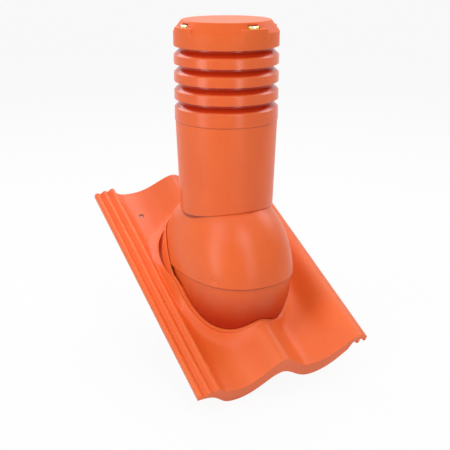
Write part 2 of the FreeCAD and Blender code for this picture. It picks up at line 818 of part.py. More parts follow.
def tile_section():
    """Skin, with interlock ribs on the left and a lip with a tooth on the right."""
    skin = num("tile_skin")
    right = num("tile_right")
    below = wave(-skin)[:-1]
    lip_inside = right - num("lip_wall")
    tooth_right = lip_inside - num("lip_room")
    tooth_left = tooth_right - num("tooth_width")
    lip = [
        (right, num("lip_rise")),
        (right, -num("lip_drop")),
        (lip_inside, -num("lip_drop")),
        (lip_inside, -skin / 2),
        (tooth_right, -skin / 4),
        (tooth_right, -num("tooth_drop")),
        (tooth_left, -num("tooth_drop")),
        below[-1],
    ]
    edge_inside = LEFT[0] + num("edge_width")
    edge_low = LEFT[1] - num("edge_drop")
    edge = [
        below[0],
        (edge_inside, LEFT[1] - skin),
        (edge_inside, edge_low),
        (LEFT[0], edge_low),
        LEFT,
    ]
    return face_of(RIBS + [smooth(wave()), smooth(below)] + straight(lip) + straight(edge))


def apron_section():
    """Front face, from the middle of the skin down to its own waved lower edge."""
    middle = -num("tile_skin") / 2
    above = wave(middle)[:-2]
    low_left = (LEFT[0], LEFT[1] - num("edge_drop"))
    tooth_left = num("tile_right") - num("lip_wall") - num("lip_room") - num("tooth_width")
    right_end = [above[-1], (tooth_left, 7), (tooth_left, -2.6), (126, -5), APRON_LINE[-1]]
    left_end = [above[0], (LEFT[0], LEFT[1] + middle), low_left]
    curves = [smooth(above), smooth([low_left] + APRON_LINE)]
    return face_of(curves + straight(right_end) + straight(left_end))


def under_surface(lift, low, front, back):
    """Everything between a low plane and the tile's line moved up by lift."""
    line = wave(lift)
    frame = [line[-1], (line[-1][0], low), (LEFT[0], low), (LEFT[0], FOOT[1] + lift), line[0]]
    return along_slope(face_of([smooth(line)] + straight(frame)), front, back)


def rim_outset(margin):
    """Outset of an oval that lies a margin outside the tile's hole."""
    return num("collar_gap") + num("socket_wall") + num("hole_gap") + margin


def head_tool():
    """What leaves the back of the wave: behind a leaning edge, beside the ribs."""
    start = num("tile_back") - num("head_setback")
    lean = math.tan(math.radians(num("head_lean")))
    high, low = VALLEY, -2 * VALLEY
    far = start + num("tile_back")
    spots = [(start - high * lean, high), (start - low * lean, low), (far, low), (far, high)]
    line = [Vector(FOOT[0], y, z) for y, z in spots + spots[:1]]
    return face_of(line_between(line)).extrude(Vector(FAR, 0, 0))


def hole_tool():
    """What the tile's hole removes: the ball's room, longer behind the ball."""
    tool = level(ball(rim_outset(0)))
    back_tool = tool.copy()
    back_tool.translate(Vector(0, num("hole_slack"), 0))
    return tool.fuse(back_tool)


def screw_spots():
    """Places of the flange screws in the tile's frame: four corners and two sides."""
    outset = rim_outset(num("post_radius") + 0.5)
    middle = num("hole_slack") / 2
    along, out = on_shoulder(outset, math.radians(num("screw_turn")))
    corners = [Vector(x * along, middle + y * (out + middle), 0) for x in (-1, 1) for y in (-1, 1)]
    return corners + [Vector(x * on_side(outset, 0)[0], middle, 0) for x in (-1, 1)]


def tile_base():
    skin = num("tile_skin")
    body = along_slope(tile_section(), num("tile_front"), num("tile_back"))
    apron = along_slope(apron_section(), num("tile_front"), num("apron_wall") - num("tile_front"))
    tile = body.fuse(apron)
    low = num("flange_thick") - num("socket_depth")
    inside = under_surface(-skin * 0.5, low, num("tile_front"), num("tile_back"))
    for spot in screw_spots():
        height = num("socket_depth")
        post = Part.makeCylinder(num("post_radius"), height, Vector(spot.x, spot.y, low))
        tile = tile.fuse(post.common(inside))
    for side in (-1, 1):
        middle = side * num("nib_side")
        start = num("tile_back") - num("nib_inset")
        half = num("nib_width") / 2
        deep = -VALLEY - num("nib_drop")
        nib = block((middle - half, start, deep), (middle + half, start + num("nib_thick"), 0))
        tile = tile.fuse(nib.common(under_surface(-skin * 0.5, deep, num("tile_front"), num("tile_back"))))
    tile = tile.cut(head_tool())
    tile = tile.cut(hole_tool())
    nail_y = num("tile_back") - num("nail_inset")
    nail_spot = Vector(-num("nail_side"), nail_y, -VALLEY - skin / 2)
    lean = math.radians(num("nail_lean"))
    nail_way = Vector(-math.sin(lean), 0, math.cos(lean))
    nail = Part.makeCylinder(num("nail_radius"), 6 * skin, nail_spot - nail_way * 3 * skin, nail_way)
    tile = tile.cut(nail)
    pilot_radius = num("screw_radius") * 0.9
    for spot in screw_spots():
        pilot = Part.makeCylinder(pilot_radius, num("screw_length") + 1, Vector(spot.x, spot.y, low))
        tile = tile.cut(pilot)
    placed("tile_base", tile, num("roof_pitch"))


tile_base()


# Socket collar: hugs the ball in the tile's hole and carries the flange
def flange(low, thick, inner_outset):
    """Flat oval ring in the tile's frame round the ball, with the screw holes."""
    outset = rim_outset(2 * num("post_radius") + 1)
    middle = num("hole_slack") / 2
    edges = []
    for way in (-1, 1):
        edges += half_oval(outset, lambda along, out: Vector(along, middle + way * (out + middle), low))
    end, disc = on_side(outset, 0)
    for x in (-end, end):
        far_spots = [Vector(x, middle + way * (disc + middle), low) for way in (-1, 1)]
        edges += line_between(far_spots)
    plate = face_of(edges).extrude(Vector(0, 0, thick))
    plate = plate.cut(level(ball(inner_outset)))
    for spot in screw_spots():
        hole = Part.makeCylinder(num("screw_radius") + 0.2, thick, Vector(spot.x, spot.y, low))
        plate = plate.cut(hole)
    return plate


def socket_collar():
    gap = num("collar_gap")
    wall = num("socket_wall")
    low = -num("socket_depth")
    ring = level(ball(gap + wall))
    front_top = under_surface(num("socket_lip"), low, num("tile_front"), num("tile_back"))
    front_top = front_top.common(block((-FAR, -FAR, -FAR), (FAR, 0, FAR)))
    side = num("socket_side_drop")
    start = -num("socket_ramp_start")
    end = -num("socket_ramp_end")
    ramp = [(FAR, -side), (start, -side), (end, -VALLEY), (end, low), (FAR, low)]
    line = [Vector(-FAR, y, z) for y, z in ramp]
    face = Part.Face(Part.makePolygon(line + [line[0]]))
    sides = face.extrude(Vector(2 * FAR, 0, 0))
    collar = ring.common(front_top.fuse(sides))
    collar = collar.cut(level(ball(gap)))
    rim = flange(low, num("flange_thick"), gap + wall * 0.5)
    placed("socket_collar", collar.fuse(rim), num("roof_pitch"))


socket_collar()

gasket_low = -num("socket_depth") - num("gasket_thick")
placed("flange_gasket", flange(gasket_low, num("gasket_thick"), num("collar_gap")), num("roof_pitch"))


# Lower ball shell: held under the socket by its flange, reaches up inside the hood
def lower_shell():
    outer = -num("shell_wall") - num("slide_gap")
    low = gasket_low - num("flange_thick")
    shell = ball(outer).cut(ball(outer - num("shell_wall")))
    shell = shell.cut(between(edge_line(num("lower_shell_rise")), TOP_LINE))
    shell = level(shell).cut(block((-FAR, -FAR, -FAR), (FAR, FAR, low)))
    rim = flange(low, num("flange_thick"), outer - num("shell_wall") * 0.5)
    placed("lower_shell", shell.fuse(rim), num("roof_pitch"))


lower_shell()


def wiper_seal():
    """Rubber lip that caps the lower shell's upper edge inside the hood."""
    outer = -num("shell_wall") - num("wiper_gap")
    rise = num("lower_shell_rise")
    ring = ball(outer).cut(ball(outer - num("slide_gap") - num("shell_wall")))
    placed("wiper_seal", ring.common(between(edge_line(rise), edge_line(rise + num("wiper_height")))))


wiper_seal()


def flange_screws():
    """Pan-head screws from below, through the flanges into the tile's posts."""
    head_face = gasket_low - num("flange_thick")
    screws = []
    for spot in screw_spots():
        foot = Vector(spot.x, spot.y, head_face - num("screw_head_height"))
        head = Part.makeCylinder(num("screw_head_radius"), num("screw_head_height"), foot)
        reach = num("screw_length") + num("gasket_thick") + 2 * num("flange_thick")
        shank = Part.makeCylinder(num("screw_radius") * 0.88, reach, Vector(spot.x, spot.y, head_face))
        screws.append(head.fuse(shank))
    placed("flange_screws", Part.makeCompound(screws), num("roof_pitch"))


flange_screws()

doc.recompute()

# Every object has to be sound before anything is written
for thing in doc.Objects:
    if "Invalid" in thing.State or "Error" in thing.State:
        raise RuntimeError("failed: " + thing.Label)
for label, thing in pieces.items():
    if thing.Shape.isNull() or not thing.Shape.isValid():
        raise RuntimeError("bad shape: " + label)

os.makedirs(NODE_FOLDER, exist_ok=True)
for label, thing in pieces.items():
    thing.Shape.exportStep(os.path.join(NODE_FOLDER, label + ".step"))
    print("%-20s %9.1f mm3, %d solid" % (label, thing.Shape.Volume, len(thing.Shape.Solids)))
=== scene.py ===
# %% [markdown]
# # Dressing a roof tile vent
# The object is a moulded roof tile with a socket, a ball-shaped hood that tilts in it,
# a tapered casing and a cowl of louvre rings under a flat cap. All of it is one smooth
# terracotta plastic, so the look depends on clean curves, small rounded edges and soft
# light more than on texture. The measured solids arrive as a fixed frame. Hidden pieces
# keep their solids and get a finish; every piece that shows is made again as a surface
# worked out on a grid, so that its curves are smooth and its edges catch light.

# %% The frame and its box
import math
from functools import partialmethod

import bmesh
import bpy
import numpy as np
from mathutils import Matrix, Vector


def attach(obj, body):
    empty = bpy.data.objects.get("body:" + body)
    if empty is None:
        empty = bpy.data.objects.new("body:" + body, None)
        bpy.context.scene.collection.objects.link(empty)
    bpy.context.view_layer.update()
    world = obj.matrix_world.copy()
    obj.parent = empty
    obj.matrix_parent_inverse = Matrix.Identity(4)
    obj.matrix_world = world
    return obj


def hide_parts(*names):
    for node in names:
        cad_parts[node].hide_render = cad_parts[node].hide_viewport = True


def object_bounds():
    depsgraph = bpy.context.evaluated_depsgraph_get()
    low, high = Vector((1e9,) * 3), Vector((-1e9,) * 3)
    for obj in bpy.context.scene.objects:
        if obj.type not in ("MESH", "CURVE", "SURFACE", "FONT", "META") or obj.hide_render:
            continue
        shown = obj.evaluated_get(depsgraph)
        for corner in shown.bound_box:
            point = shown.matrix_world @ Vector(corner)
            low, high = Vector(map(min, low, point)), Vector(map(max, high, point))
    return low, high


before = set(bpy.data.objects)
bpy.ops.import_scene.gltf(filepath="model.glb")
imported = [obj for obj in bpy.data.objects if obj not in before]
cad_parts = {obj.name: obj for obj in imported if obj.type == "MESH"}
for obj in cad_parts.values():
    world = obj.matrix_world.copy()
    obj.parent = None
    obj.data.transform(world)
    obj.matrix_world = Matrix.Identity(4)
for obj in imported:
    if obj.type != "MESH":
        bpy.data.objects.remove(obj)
cad_box = [list(corner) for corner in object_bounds()]
print("solids:", sorted(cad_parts))

# %% [markdown]
# ## Sizes
# Blender works in metres. Sizes below are in millimetres, and one factor turns them into
# metres at the very end. The upright frame has its zero at the duct's lower end. The tile
# has its own frame, centred on the ball and turned about the level axis by the roof's slope.

# %% Sizes that several pieces share
MM = 0.001
BALL_HEIGHT = 100.0
TOP = BALL_HEIGHT + 391.0
SEAM_HEIGHT = TOP - 149.6
COWL_RADIUS = 80.0
NECK_RADIUS = 70.9
SLOPE = math.radians(25.75)


def to_roof(points):
    """Turns points from the tile's frame to the upright frame, about the level X axis."""
    x, y, z = np.moveaxis(points, -1, 0)
    level = y * math.cos(SLOPE) - z * math.sin(SLOPE)
    height = y * math.sin(SLOPE) + z * math.cos(SLOPE) + BALL_HEIGHT
    return np.stack([x, level, height], -1)


print("top of the cap at", TOP * MM, "m")

# %% [markdown]
# ## From a grid of points to a mesh
# A surface of two parameters is a grid: one runs along the rows and the other along the
# columns, and faces join each point to its neighbours. A grid that closes on itself, such
# as a ring, wraps round. A row that shrinks to one point is a pole, which merging closes.

# %% Grid faces
MERGE = 0.004


def grid_faces(rows, columns, wrap_rows, wrap_columns):
    """Quads of a grid: corner (i, j) joins (i, j+1), (i+1, j+1) and (i+1, j)."""
    i, j = np.indices((rows - 1 + wrap_rows, columns - 1 + wrap_columns)).reshape(2, -1)
    down, across = (i + 1) % rows, (j + 1) % columns
    corners = [i * columns + j, i * columns + across, down * columns + across, down * columns + j]
    return np.stack(corners, -1)


def facing_out(points, faces):
    """Turns the faces round if the closed surface has a negative volume, the sum of
    (a x b) . c / 6 over its triangles, measured from the middle of its points."""
    a, b, c, d = np.moveaxis(points[faces] - points.mean(0), 1, 0)
    volume = np.sum(np.cross(a, b) * c) + np.sum(np.cross(a, c) * d)
    return faces[:, ::-1] if volume < 0 else faces


def close_seams(mesh):
    """Merges points that coincide, which closes seams and poles, and drops empty faces."""
    work = bmesh.new()
    work.from_mesh(mesh)
    bmesh.ops.remove_doubles(work, verts=work.verts, dist=MERGE * MM)
    bmesh.ops.dissolve_degenerate(work, edges=work.edges, dist=MERGE * MM / 4)
    work.to_mesh(mesh)
    work.free()


def make_mesh(name, grids):
    """One mesh from closed grids (points, wrap_rows, wrap_columns), in millimetres."""
    points, faces, start = [], [], 0
    for grid, wrap_rows, wrap_columns in grids:
        rows, columns = grid.shape[:2]
        flat = grid.reshape(-1, 3)
        faces.append(facing_out(flat, grid_faces(rows, columns, wrap_rows, wrap_columns)) + start)
        points.append(flat)
        start += rows * columns
    points, faces = np.concatenate(points) * MM, np.concatenate(faces)
    mesh = bpy.data.meshes.new(name)
    mesh.vertices.add(len(points))
    mesh.vertices.foreach_set("co", points.astype(np.float32).ravel())
    mesh.loops.add(4 * len(faces))
    mesh.loops.foreach_set("vertex_index", faces.astype(np.int32).ravel())
    mesh.polygons.add(len(faces))
    mesh.polygons.foreach_set("loop_start", np.arange(0, 4 * len(faces), 4, dtype=np.int32))
    mesh.update(calc_edges=True)
    close_seams(mesh)
    return mesh


print("points closer than", MERGE, "mm are merged")

# %% [markdown]
# ## Rubbed edges with a painted highlight, and a piece that takes its solid's place
# Handling rubs a part's outer edges first, and their paler colour is partly that wear and
# partly a painted highlight. The edges could be painted by hand, but how convex a mesh is
# can be measured at each point and kept as an attribute, which a finish reads.
# A finished piece rides on its body and replaces the solid that it dresses.

# %% Edges and finished pieces
def mark_edges(mesh):
    """Stores how convex each point is, as the attribute edge, from 0 on a flat to 1.

    It is the mean drop of the neighbours below the point's tangent plane, as a share of
    their distance: -mean((b - a) . n / |b - a|), stretched so that small rounded edges count.
    """
    count = len(mesh.vertices)
    place, normal = np.empty(3 * count), np.empty(3 * count)
    mesh.vertices.foreach_get("co", place)
    mesh.vertex_normals.foreach_get("vector", normal)
    place, normal = place.reshape(-1, 3), normal.reshape(-1, 3)
    pairs = np.empty(2 * len(mesh.edges), np.int32)
    mesh.edges.foreach_get("vertices", pairs)
    pairs = pairs.reshape(-1, 2)
    first, second = np.concatenate([pairs, pairs[:, ::-1]]).T
    way = place[second] - place[first]
    length = np.maximum(np.linalg.norm(way, axis=1), 1e-9)
    drop = -np.einsum("ij,ij->i", way, normal[first]) / length
    total = np.bincount(first, drop, count) / np.maximum(np.bincount(first, minlength=count), 1)
    edge = mesh.attributes.new("edge", "FLOAT", "POINT")
    edge.data.foreach_set("value", np.clip((total - 0.03) / 0.15, 0, 1).astype(np.float32))


def show(mesh, node, body, finish, sharp=38):
    """Makes the piece: smooth faces, one finish, riding on its body in place of its solid."""
    mesh.name = "dressed_" + node
    mark_edges(mesh)
    mesh.polygons.foreach_set("use_smooth", np.ones(len(mesh.polygons), bool))
    mesh.set_sharp_from_angle(angle=math.radians(sharp))
    mesh.materials.clear()
    mesh.materials.append(finish)
    piece = bpy.data.objects.new(mesh.name, mesh)
    bpy.context.scene.collection.objects.link(piece)
    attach(piece, body)
    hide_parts(node)
    print(mesh.name, len(mesh.polygons), "faces")


def dress(node, body, finish, *grids):
    """Shows one piece made of grids that close both ways, for the solid of that name."""
    show(make_mesh("dressed_" + node, [(grid, True, True) for grid in grids]), node, body, finish)


# %% [markdown]
# ## Shader maths
# A finish is a small network of nodes. One class wraps a node's output so that sums and
# products can be written as plain expressions, and one method adds any other node.

# %% Expressions on sockets
class Wire:
    """A value that runs through a shader: an output socket with arithmetic on it."""

    def __init__(self, tree, socket):
        self.tree = tree
        self.socket = socket

    def math(self, operation, reflected, other):
        """Adds a Math node; reflected puts the other value first, as 1 - mask needs."""
        first, second = (other, self) if reflected else (self, other)
        return self.tree.node("ShaderNodeMath", {"operation": operation}, {0: first, 1: second})

    __add__, __radd__ = partialmethod(math, "ADD", False), partialmethod(math, "ADD", True)
    __sub__, __rsub__ = partialmethod(math, "SUBTRACT", False), partialmethod(math, "SUBTRACT", True)
    __mul__, __rmul__ = partialmethod(math, "MULTIPLY", False), partialmethod(math, "MULTIPLY", True)


# %% A finish and its nodes
class Finish:
    """A material under construction: its nodes, its surface shader and its coordinates."""

    def __init__(self, name):
        self.material = bpy.data.materials.new(name)
        self.material.use_nodes = True
        self.nodes = self.material.node_tree.nodes
        self.links = self.material.node_tree.links
        self.shader = self.nodes["Principled BSDF"]
        place = self.nodes.new("ShaderNodeTexCoord")
        self.place = Wire(self, place.outputs["Object"])

    def node(self, kind, settings, inputs, output=0):
        """Adds a node: first its settings, then the values or links of its sockets."""
        made = self.nodes.new(kind)
        for key, value in settings.items():
            setattr(made, key, value)
        for key, value in inputs.items():
            self.feed(made.inputs[key], value)
        return Wire(self, made.outputs[output])

    def feed(self, socket, value):
        """Links a wire to the socket, or sets the socket to a plain value."""
        if isinstance(value, Wire):
            self.links.new(value.socket, socket)
        else:
            socket.default_value = value

    def noise(self, size_mm, detail=2.0, roughness=0.5, place=None):
        """Soft random pattern; size_mm is about how far apart its light spots lie."""
        inputs = {"Vector": place or self.place, "Scale": 1 / (size_mm * MM)}
        inputs.update({"Detail": detail, "Roughness": roughness})
        return self.node("ShaderNodeTexNoise", {}, inputs)

    def blend(self, share, first, second):
        """Colour between two colours; share is 0 for the first and 1 for the second."""
        inputs = {0: share, 6: first, 7: second}
        return self.node("ShaderNodeMix", {"data_type": "RGBA"}, inputs, output=2)

    def surface(self, **values):
        """Sets or links the surface shader's sockets, written as Base_Color for Base Color."""
        for key, value in values.items():
            self.feed(self.shader.inputs[key.replace("_", " ")], value)
        return self.material

    def two_tone(self, share, first, second, **values):
        """The surface in a blend of two paints, with its other sockets as given."""
        return self.surface(Base_Color=self.blend(share, paint(*first), paint(*second)), **values)

    def stored(self, name):
        """A number that the mesh keeps for each of its points."""
        return self.node("ShaderNodeAttribute", {"attribute_name": name}, {}, output=2)

    def stretched(self, x, y, z):
        """The object's coordinates, scaled along each axis, for patterns that run one way."""
        inputs = {0: self.place, 1: (x, y, z)}
        return self.node("ShaderNodeVectorMath", {"operation": "MULTIPLY"}, inputs)

    def near(self, axes, centre, start, end, share=1.0):
        """0 further than start from a centre and share within end, in mm along some axes."""
        inputs = {0: self.stretched(*axes), 1: tuple(value * MM for value in centre)}
        far = self.node("ShaderNodeVectorMath", {"operation": "DISTANCE"}, inputs, output=1)
        limits = {0: far, 1: start * MM, 2: end * MM, 3: 0.0, 4: share}
        return self.node("ShaderNodeMapRange", {}, limits)

    def bump(self, height, depth_mm):
        """Small relief: height is a pattern from 0 to 1, depth_mm its full depth."""
        inputs = {"Height": height, "Distance": depth_mm * MM, "Strength": 1.0}
        return self.node("ShaderNodeBump", {}, inputs)


def paint(red, green, blue):
    """An sRGB colour out of 255 as the linear colour that a shader takes."""
    share = np.array([red, green, blue]) / 255
    linear = np.where(share < 0.04045, share / 12.92, ((share + 0.055) / 1.055) ** 2.4)
    return tuple(float(v) for v in linear) + (1.0,)


print("mid grey is", paint(128, 128, 128)[0])

# %% [markdown]
# ## Terracotta plastic
# Tile, hood and cowl are moulded in a through-coloured plastic with a very fine grain.
# Batches drift slightly in tone, so a wide soft noise moves the colour, a finer one breaks
# up the gloss, and the finest gives the grain. Each piece has the gloss of its own mould.
# Shade is painted into the tone: it is deeper low on the ball, inside the louvres, in the
# narrow seams, round the nail hole and in the cap's dimple. A painted picture could do
# that, but a distance from a point, a level or the pipe's axis needs no unwrapping, and it
# moves with the piece.

# %% Terracotta finishes
def terracotta(name, light, dark, roughness, grain, *shade_zones, mirror=0.5):
    """Two close tones, a worn edge that is paler and smoother, its paler colour partly a painted highlight,
    and a fine mould grain.

    Each zone is (axes, centre, start, end, share, deep) and paints shade: between two distances
    from a centre, measured in millimetres along some of the axes, the tone turns into deep.
    """
    finish = Finish(name + " terracotta")
    drift, mottle, fine = finish.noise(55, 3), finish.noise(3.5, 4, 0.6), finish.noise(0.9, 2)
    # Paler, smoother edges: partly wear, partly a painted highlight on the rounded edges.
    rubbed_and_highlight = finish.stored("edge") * (0.8 + 0.2 * mottle)
    tone = finish.blend(0.78 * drift + 0.22 * mottle, paint(*dark), paint(*light))
    # Painted shade: each zone darkens the tone where light reaches less.
    for axes, centre, start, end, share, deep in shade_zones:
        tone = finish.blend(finish.near(axes, centre, start, end, share), tone, paint(*deep))
    return finish.surface(
        Base_Color=finish.blend(0.3 * rubbed_and_highlight, tone, paint(255, 160, 112)),
        Roughness=roughness - 0.02 + 0.06 * mottle - 0.06 * rubbed_and_highlight,
        Normal=finish.bump(0.6 * fine + 0.4 * mottle, grain),
        Specular_IOR_Level=mirror,
        IOR=1.46,
    )


GRAIN, POLISHED = 0.015, 0.003
LEVEL, UPRIGHT, ALL = (1, 1, 0), (0, 0, 1), (1, 1, 1)
ZERO = (0, 0, 0)
# Painted shade: darker round the nail hole.
nail_hole_shade = (ALL, (-72, 184.8, 138.1), 5.0, 4.2, 0.85, (96, 26, 12))
# Painted shade: the lower shell grows darker towards the bottom, as the shade low on the ball.
low_shade_zone = (UPRIGHT, ZERO, 104.0, 40.0, 1.0, (184, 46, 15))
# Painted shadow: a dark ring on the hood under the casing's foot.
foot_shadow_zone = (LEVEL, ZERO, 72.2, 71.4, 0.7, (130, 28, 10))
# Painted shadow line along the hood's lower edge, at the seam.
hood_edge_shadow = (UPRIGHT, ZERO, 105.7, 104.9, 0.8, (120, 26, 10))
# Painted shadow line on the casing's top, in the joint under the louvre collar.
joint_shadow_zone = (UPRIGHT, (0, 0, SEAM_HEIGHT), 1.2, 0.5, 0.7, (120, 26, 10))
# Painted shade: the louvre flares turn deep red inwards, behind the ring above.
flare_shade_zone = (LEVEL, ZERO, 78.3, 76.8, 1.0, (206, 52, 18))
# Painted shade: darker in the dimple at the cap's centre.
dimple_shade_zone = (ALL, (0, 0, TOP), 2.4, 1.6, 0.5, (130, 40, 16))
tile_finish = terracotta("tile", (244, 113, 46), (234, 96, 34), 0.44, GRAIN, nail_hole_shade)
shell_finish = terracotta("shell", (238, 106, 44), (228, 92, 33), 0.4, GRAIN, low_shade_zone)
hood_finish = terracotta("hood", (241, 109, 44), (230, 92, 32), 0.36, GRAIN, foot_shadow_zone, hood_edge_shadow)
casing_finish = terracotta("casing", (240, 108, 44), (230, 92, 32), 0.34, GRAIN, joint_shadow_zone)
louvre_finish = terracotta("louvre", (238, 106, 44), (228, 90, 33), 0.22, POLISHED, flare_shade_zone)
cap_finish = terracotta("cap", (236, 106, 46), (226, 91, 34), 0.42, GRAIN, dimple_shade_zone, mirror=0.2)
print("deep tones begin at", low_shade_zone[2], "mm on the lower shell")

# %% [markdown]
# ## Outlines with soft corners
# A plastic part has no knife edge. Each outline is written with sharp corners, and a short
# curve that starts and ends a set distance away then replaces every corner. Shading is
# blended between points, so one more point beyond each end keeps the flats looking flat.

# %% Rounding an outline
NEAREST_SHARE, BEYOND = 0.33, 1.4


def rounded(corners, reach, steps=5):
    """Closed outline (corner, column, 2) with curves: (1-t)^2 A + 2t(1-t) P + t^2 B."""
    spot = np.asarray(corners, float)
    if spot.ndim == 2:
        spot = spot[:, None]
    ways = [np.roll(spot, way, 0) - spot for way in (1, -1)]
    lengths = [np.linalg.norm(way, axis=-1, keepdims=True) for way in ways]
    short = np.minimum(reach, NEAREST_SHARE * np.minimum(*lengths))
    back, ahead = (way / length * short for way, length in zip(ways, lengths))
    start, end = (spot + back)[:, None], (spot + ahead)[:, None]
    before, after = (spot + back * BEYOND)[:, None], (spot + ahead * BEYOND)[:, None]
    t = np.linspace(0, 1, steps)[:, None, None]
    arc = (1 - t) ** 2 * start + 2 * t * (1 - t) * spot[:, None] + t**2 * end
    return np.concatenate([before, arc, after], 1).reshape(-1, spot.shape[1], 2)


def around(outline, azimuth):
    """Turns (radius, height) about the upright axis: x = r sin a, y = -r cos a."""
    radius, height = outline[..., 0] + 0 * azimuth, outline[..., 1] + 0 * azimuth
    return np.stack([radius * np.sin(azimuth), -radius * np.cos(azimuth), height], -1)


def full_turn(count):
    """Evenly spaced angles once round, as one row."""
    return np.linspace(0, 2 * math.pi, count, endpoint=False)[None, :]


TURN = full_turn(288)
print("a ring has", TURN.size, "columns")

# %% [markdown]
# ## Louvre rings
# Each ring is a bell: an upright face, and a hollow flare that rises inwards behind the
# face of the ring above. Air slips out through the gap while rain runs down the flare.
# It is a turned shape, so one outline of radius against height is enough.

# %% Ring outline and the three rings
FLARE = np.array(
    [(COWL_RADIUS, 0), (78.3, 1.5), (76.0, 3.6), (74.0, 5.4), (72.4, 7.1)]
    + [(71.6, 8.4), (71.1, 9.9), (70.8, 12.6), (70.5, 17.6)]
)
WALL, FACE, SOFT = 2.5, 13.4, 0.5
FIRST_RING, RING_PITCH = 50.7, 26.4


def ring_top(number):
    """Height of a face's top edge, counted down from the ring under the cap."""
    return TOP - FIRST_RING - number * RING_PITCH


def flare(top):
    """Outer line of the flare above a face's top edge, and the line one wall further in."""
    outside = FLARE + [0, top]
    return outside, outside[::-1] - [WALL, 1.0]


def ring_outline(top):
    """Face and flare outside, then back down one wall further in."""
    outside, inside = flare(top)
    inside[0, 1] = outside[-1, 1]
    return np.concatenate([[(COWL_RADIUS - WALL, top - FACE), (COWL_RADIUS, top - FACE)], outside, inside])


for number, place in enumerate(("upper", "middle", "lower")):
    outline = rounded(ring_outline(ring_top(number)), SOFT)
    dress("louvre_ring_" + place, "stack", louvre_finish, around(outline, TURN))

# %% [markdown]
# ## Collar
# The lowest ring is also the lid of the casing: a deck closes the space round the duct,
# and a short plug enters the casing, so that only a fine seam shows outside.

# %% Louvre collar
BORE, PLUG, PLUG_DEPTH = 55.3, 75.45, 8.0
DECK, LEDGE, PLUG_END = SEAM_HEIGHT + 3.0, SEAM_HEIGHT + 0.05, SEAM_HEIGHT - PLUG_DEPTH
outside, inside = flare(ring_top(3))
collar = np.concatenate(
    [
        [(BORE, SEAM_HEIGHT), (PLUG - WALL, SEAM_HEIGHT), (PLUG - WALL, PLUG_END)],
        [(PLUG, PLUG_END), (PLUG, LEDGE), (COWL_RADIUS, LEDGE)],
        outside,
        inside,
        [(COWL_RADIUS - WALL, DECK), (BORE, DECK)],
    ]
)
dress("louvre_collar", "stack", louvre_finish, around(rounded(collar, SOFT), TURN))

# %% [markdown]
# ## Casing
# A plain tapered tube would be a turned shape too, but its foot follows the ball and is
# lower at the sides than in front and behind, so the outline's lower corners get a height
# that depends on the angle. The foot lies on a barrel about the tilt axis, and a few
# rounds of correction find where the tapered wall meets it.

# %% Casing with a saddle foot
FRONT_RISE, SIDE_RISE, LOW_RADIUS, HIGH_RADIUS = 107.6, 96.0, 74.2, 79.0
CASING_WALL, FOOT_GAP = 3.0, 1.0
CREST = math.hypot(FRONT_RISE, LOW_RADIUS)
ARC_MIDDLE = (CREST**2 - LOW_RADIUS**2 - SIDE_RISE**2) / (2 * (CREST - SIDE_RISE))


def taper(height):
    """Outer radius of the casing, a straight line over the height above the ball's centre."""
    share = (height - FRONT_RISE) / (SEAM_HEIGHT - BALL_HEIGHT - FRONT_RISE)
    return LOW_RADIUS + (HIGH_RADIUS - LOW_RADIUS) * share


def foot_height(azimuth, inset):
    """Height where the wall meets the barrel sqrt(y^2+z^2) = c + sqrt(r^2 - x^2)."""
    height = np.full_like(azimuth, 100.0)
    for _ in range(12):
        radius = taper(height) - inset
        out = ARC_MIDDLE + np.sqrt((CREST - ARC_MIDDLE) ** 2 - (radius * np.sin(azimuth)) ** 2)
        height = np.sqrt(out**2 - (radius * np.cos(azimuth)) ** 2)
    return height


def casing_corners(azimuth):
    """Six corners up the outside and down the inside; one halfway up each side."""
    outer, inner = (foot_height(azimuth, inset) + FOOT_GAP for inset in (0, CASING_WALL))
    top = SEAM_HEIGHT - BALL_HEIGHT + 0 * azimuth
    halfway = [0.5 * (low - FOOT_GAP + top) for low in (outer, inner)]
    heights = [outer, halfway[0], top, top, halfway[1], inner]
    radii = [taper(h) - CASING_WALL * (k > 2) for k, h in enumerate(heights)]
    return np.stack([np.stack([r, h + BALL_HEIGHT], -1) for r, h in zip(radii, heights)])[:, 0]


corner_reach = np.array([2.4, 0.7, 0.5, 0.5, 0.7, 0.7])[:, None, None]
outline = rounded(casing_corners(TURN), corner_reach)
dress("casing_tube", "stack", casing_finish, around(outline, TURN))

# %% [markdown]
# ## Rain cap
# The cap is a turned disc with a sloping shoulder, out of which four bosses stand. A
# height for every radius and angle describes the upper side: the higher of the cone and
# the boss. A soft maximum rounds the crease where they meet, as a fillet would.

# %% Height of the rain cap
DISC, SHOULDER, SHELF, EASE = 67.5, 16.5, 9.2, 1.2
BOSS_HALF, BOSS_SIDE, BOSS_START, BOSS_END_SLOPE, BOSS_DEPTH = 25.4, 4.0, 66.0, 8, 30
DIMPLE_DEPTH, DIMPLE_RADIUS = 0.8, 2.2
QUARTER = math.pi / 2


def soft_max(a, b, width):
    """The higher of two heights: b + (a - b) n + w n (1 - n), where n goes from 0 to 1 as
    a passes b, within the width w on either side."""
    near = np.clip(0.5 + 0.5 * (a - b) / width, 0, 1)
    return b + (a - b) * near + width * near * (1 - near)


def boss_height(radius, azimuth):
    """Trapezoid bosses at the four quarter turns, flat on top, with leaning sides."""
    quarter = np.mod(azimuth + QUARTER / 2, QUARTER) - QUARTER / 2
    across = np.abs(radius * np.sin(quarter))
    side = -SHOULDER + (BOSS_HALF - across) * (SHOULDER - SHELF) / BOSS_SIDE
    end = -SHOULDER + (radius * np.cos(quarter) - BOSS_START) * BOSS_END_SLOPE
    side = soft_max(-SHELF - BOSS_DEPTH + 0 * side, side, 0.1)
    return -soft_max(-side, soft_max(np.full_like(side, SHELF), -end, 0.3), 0.5)


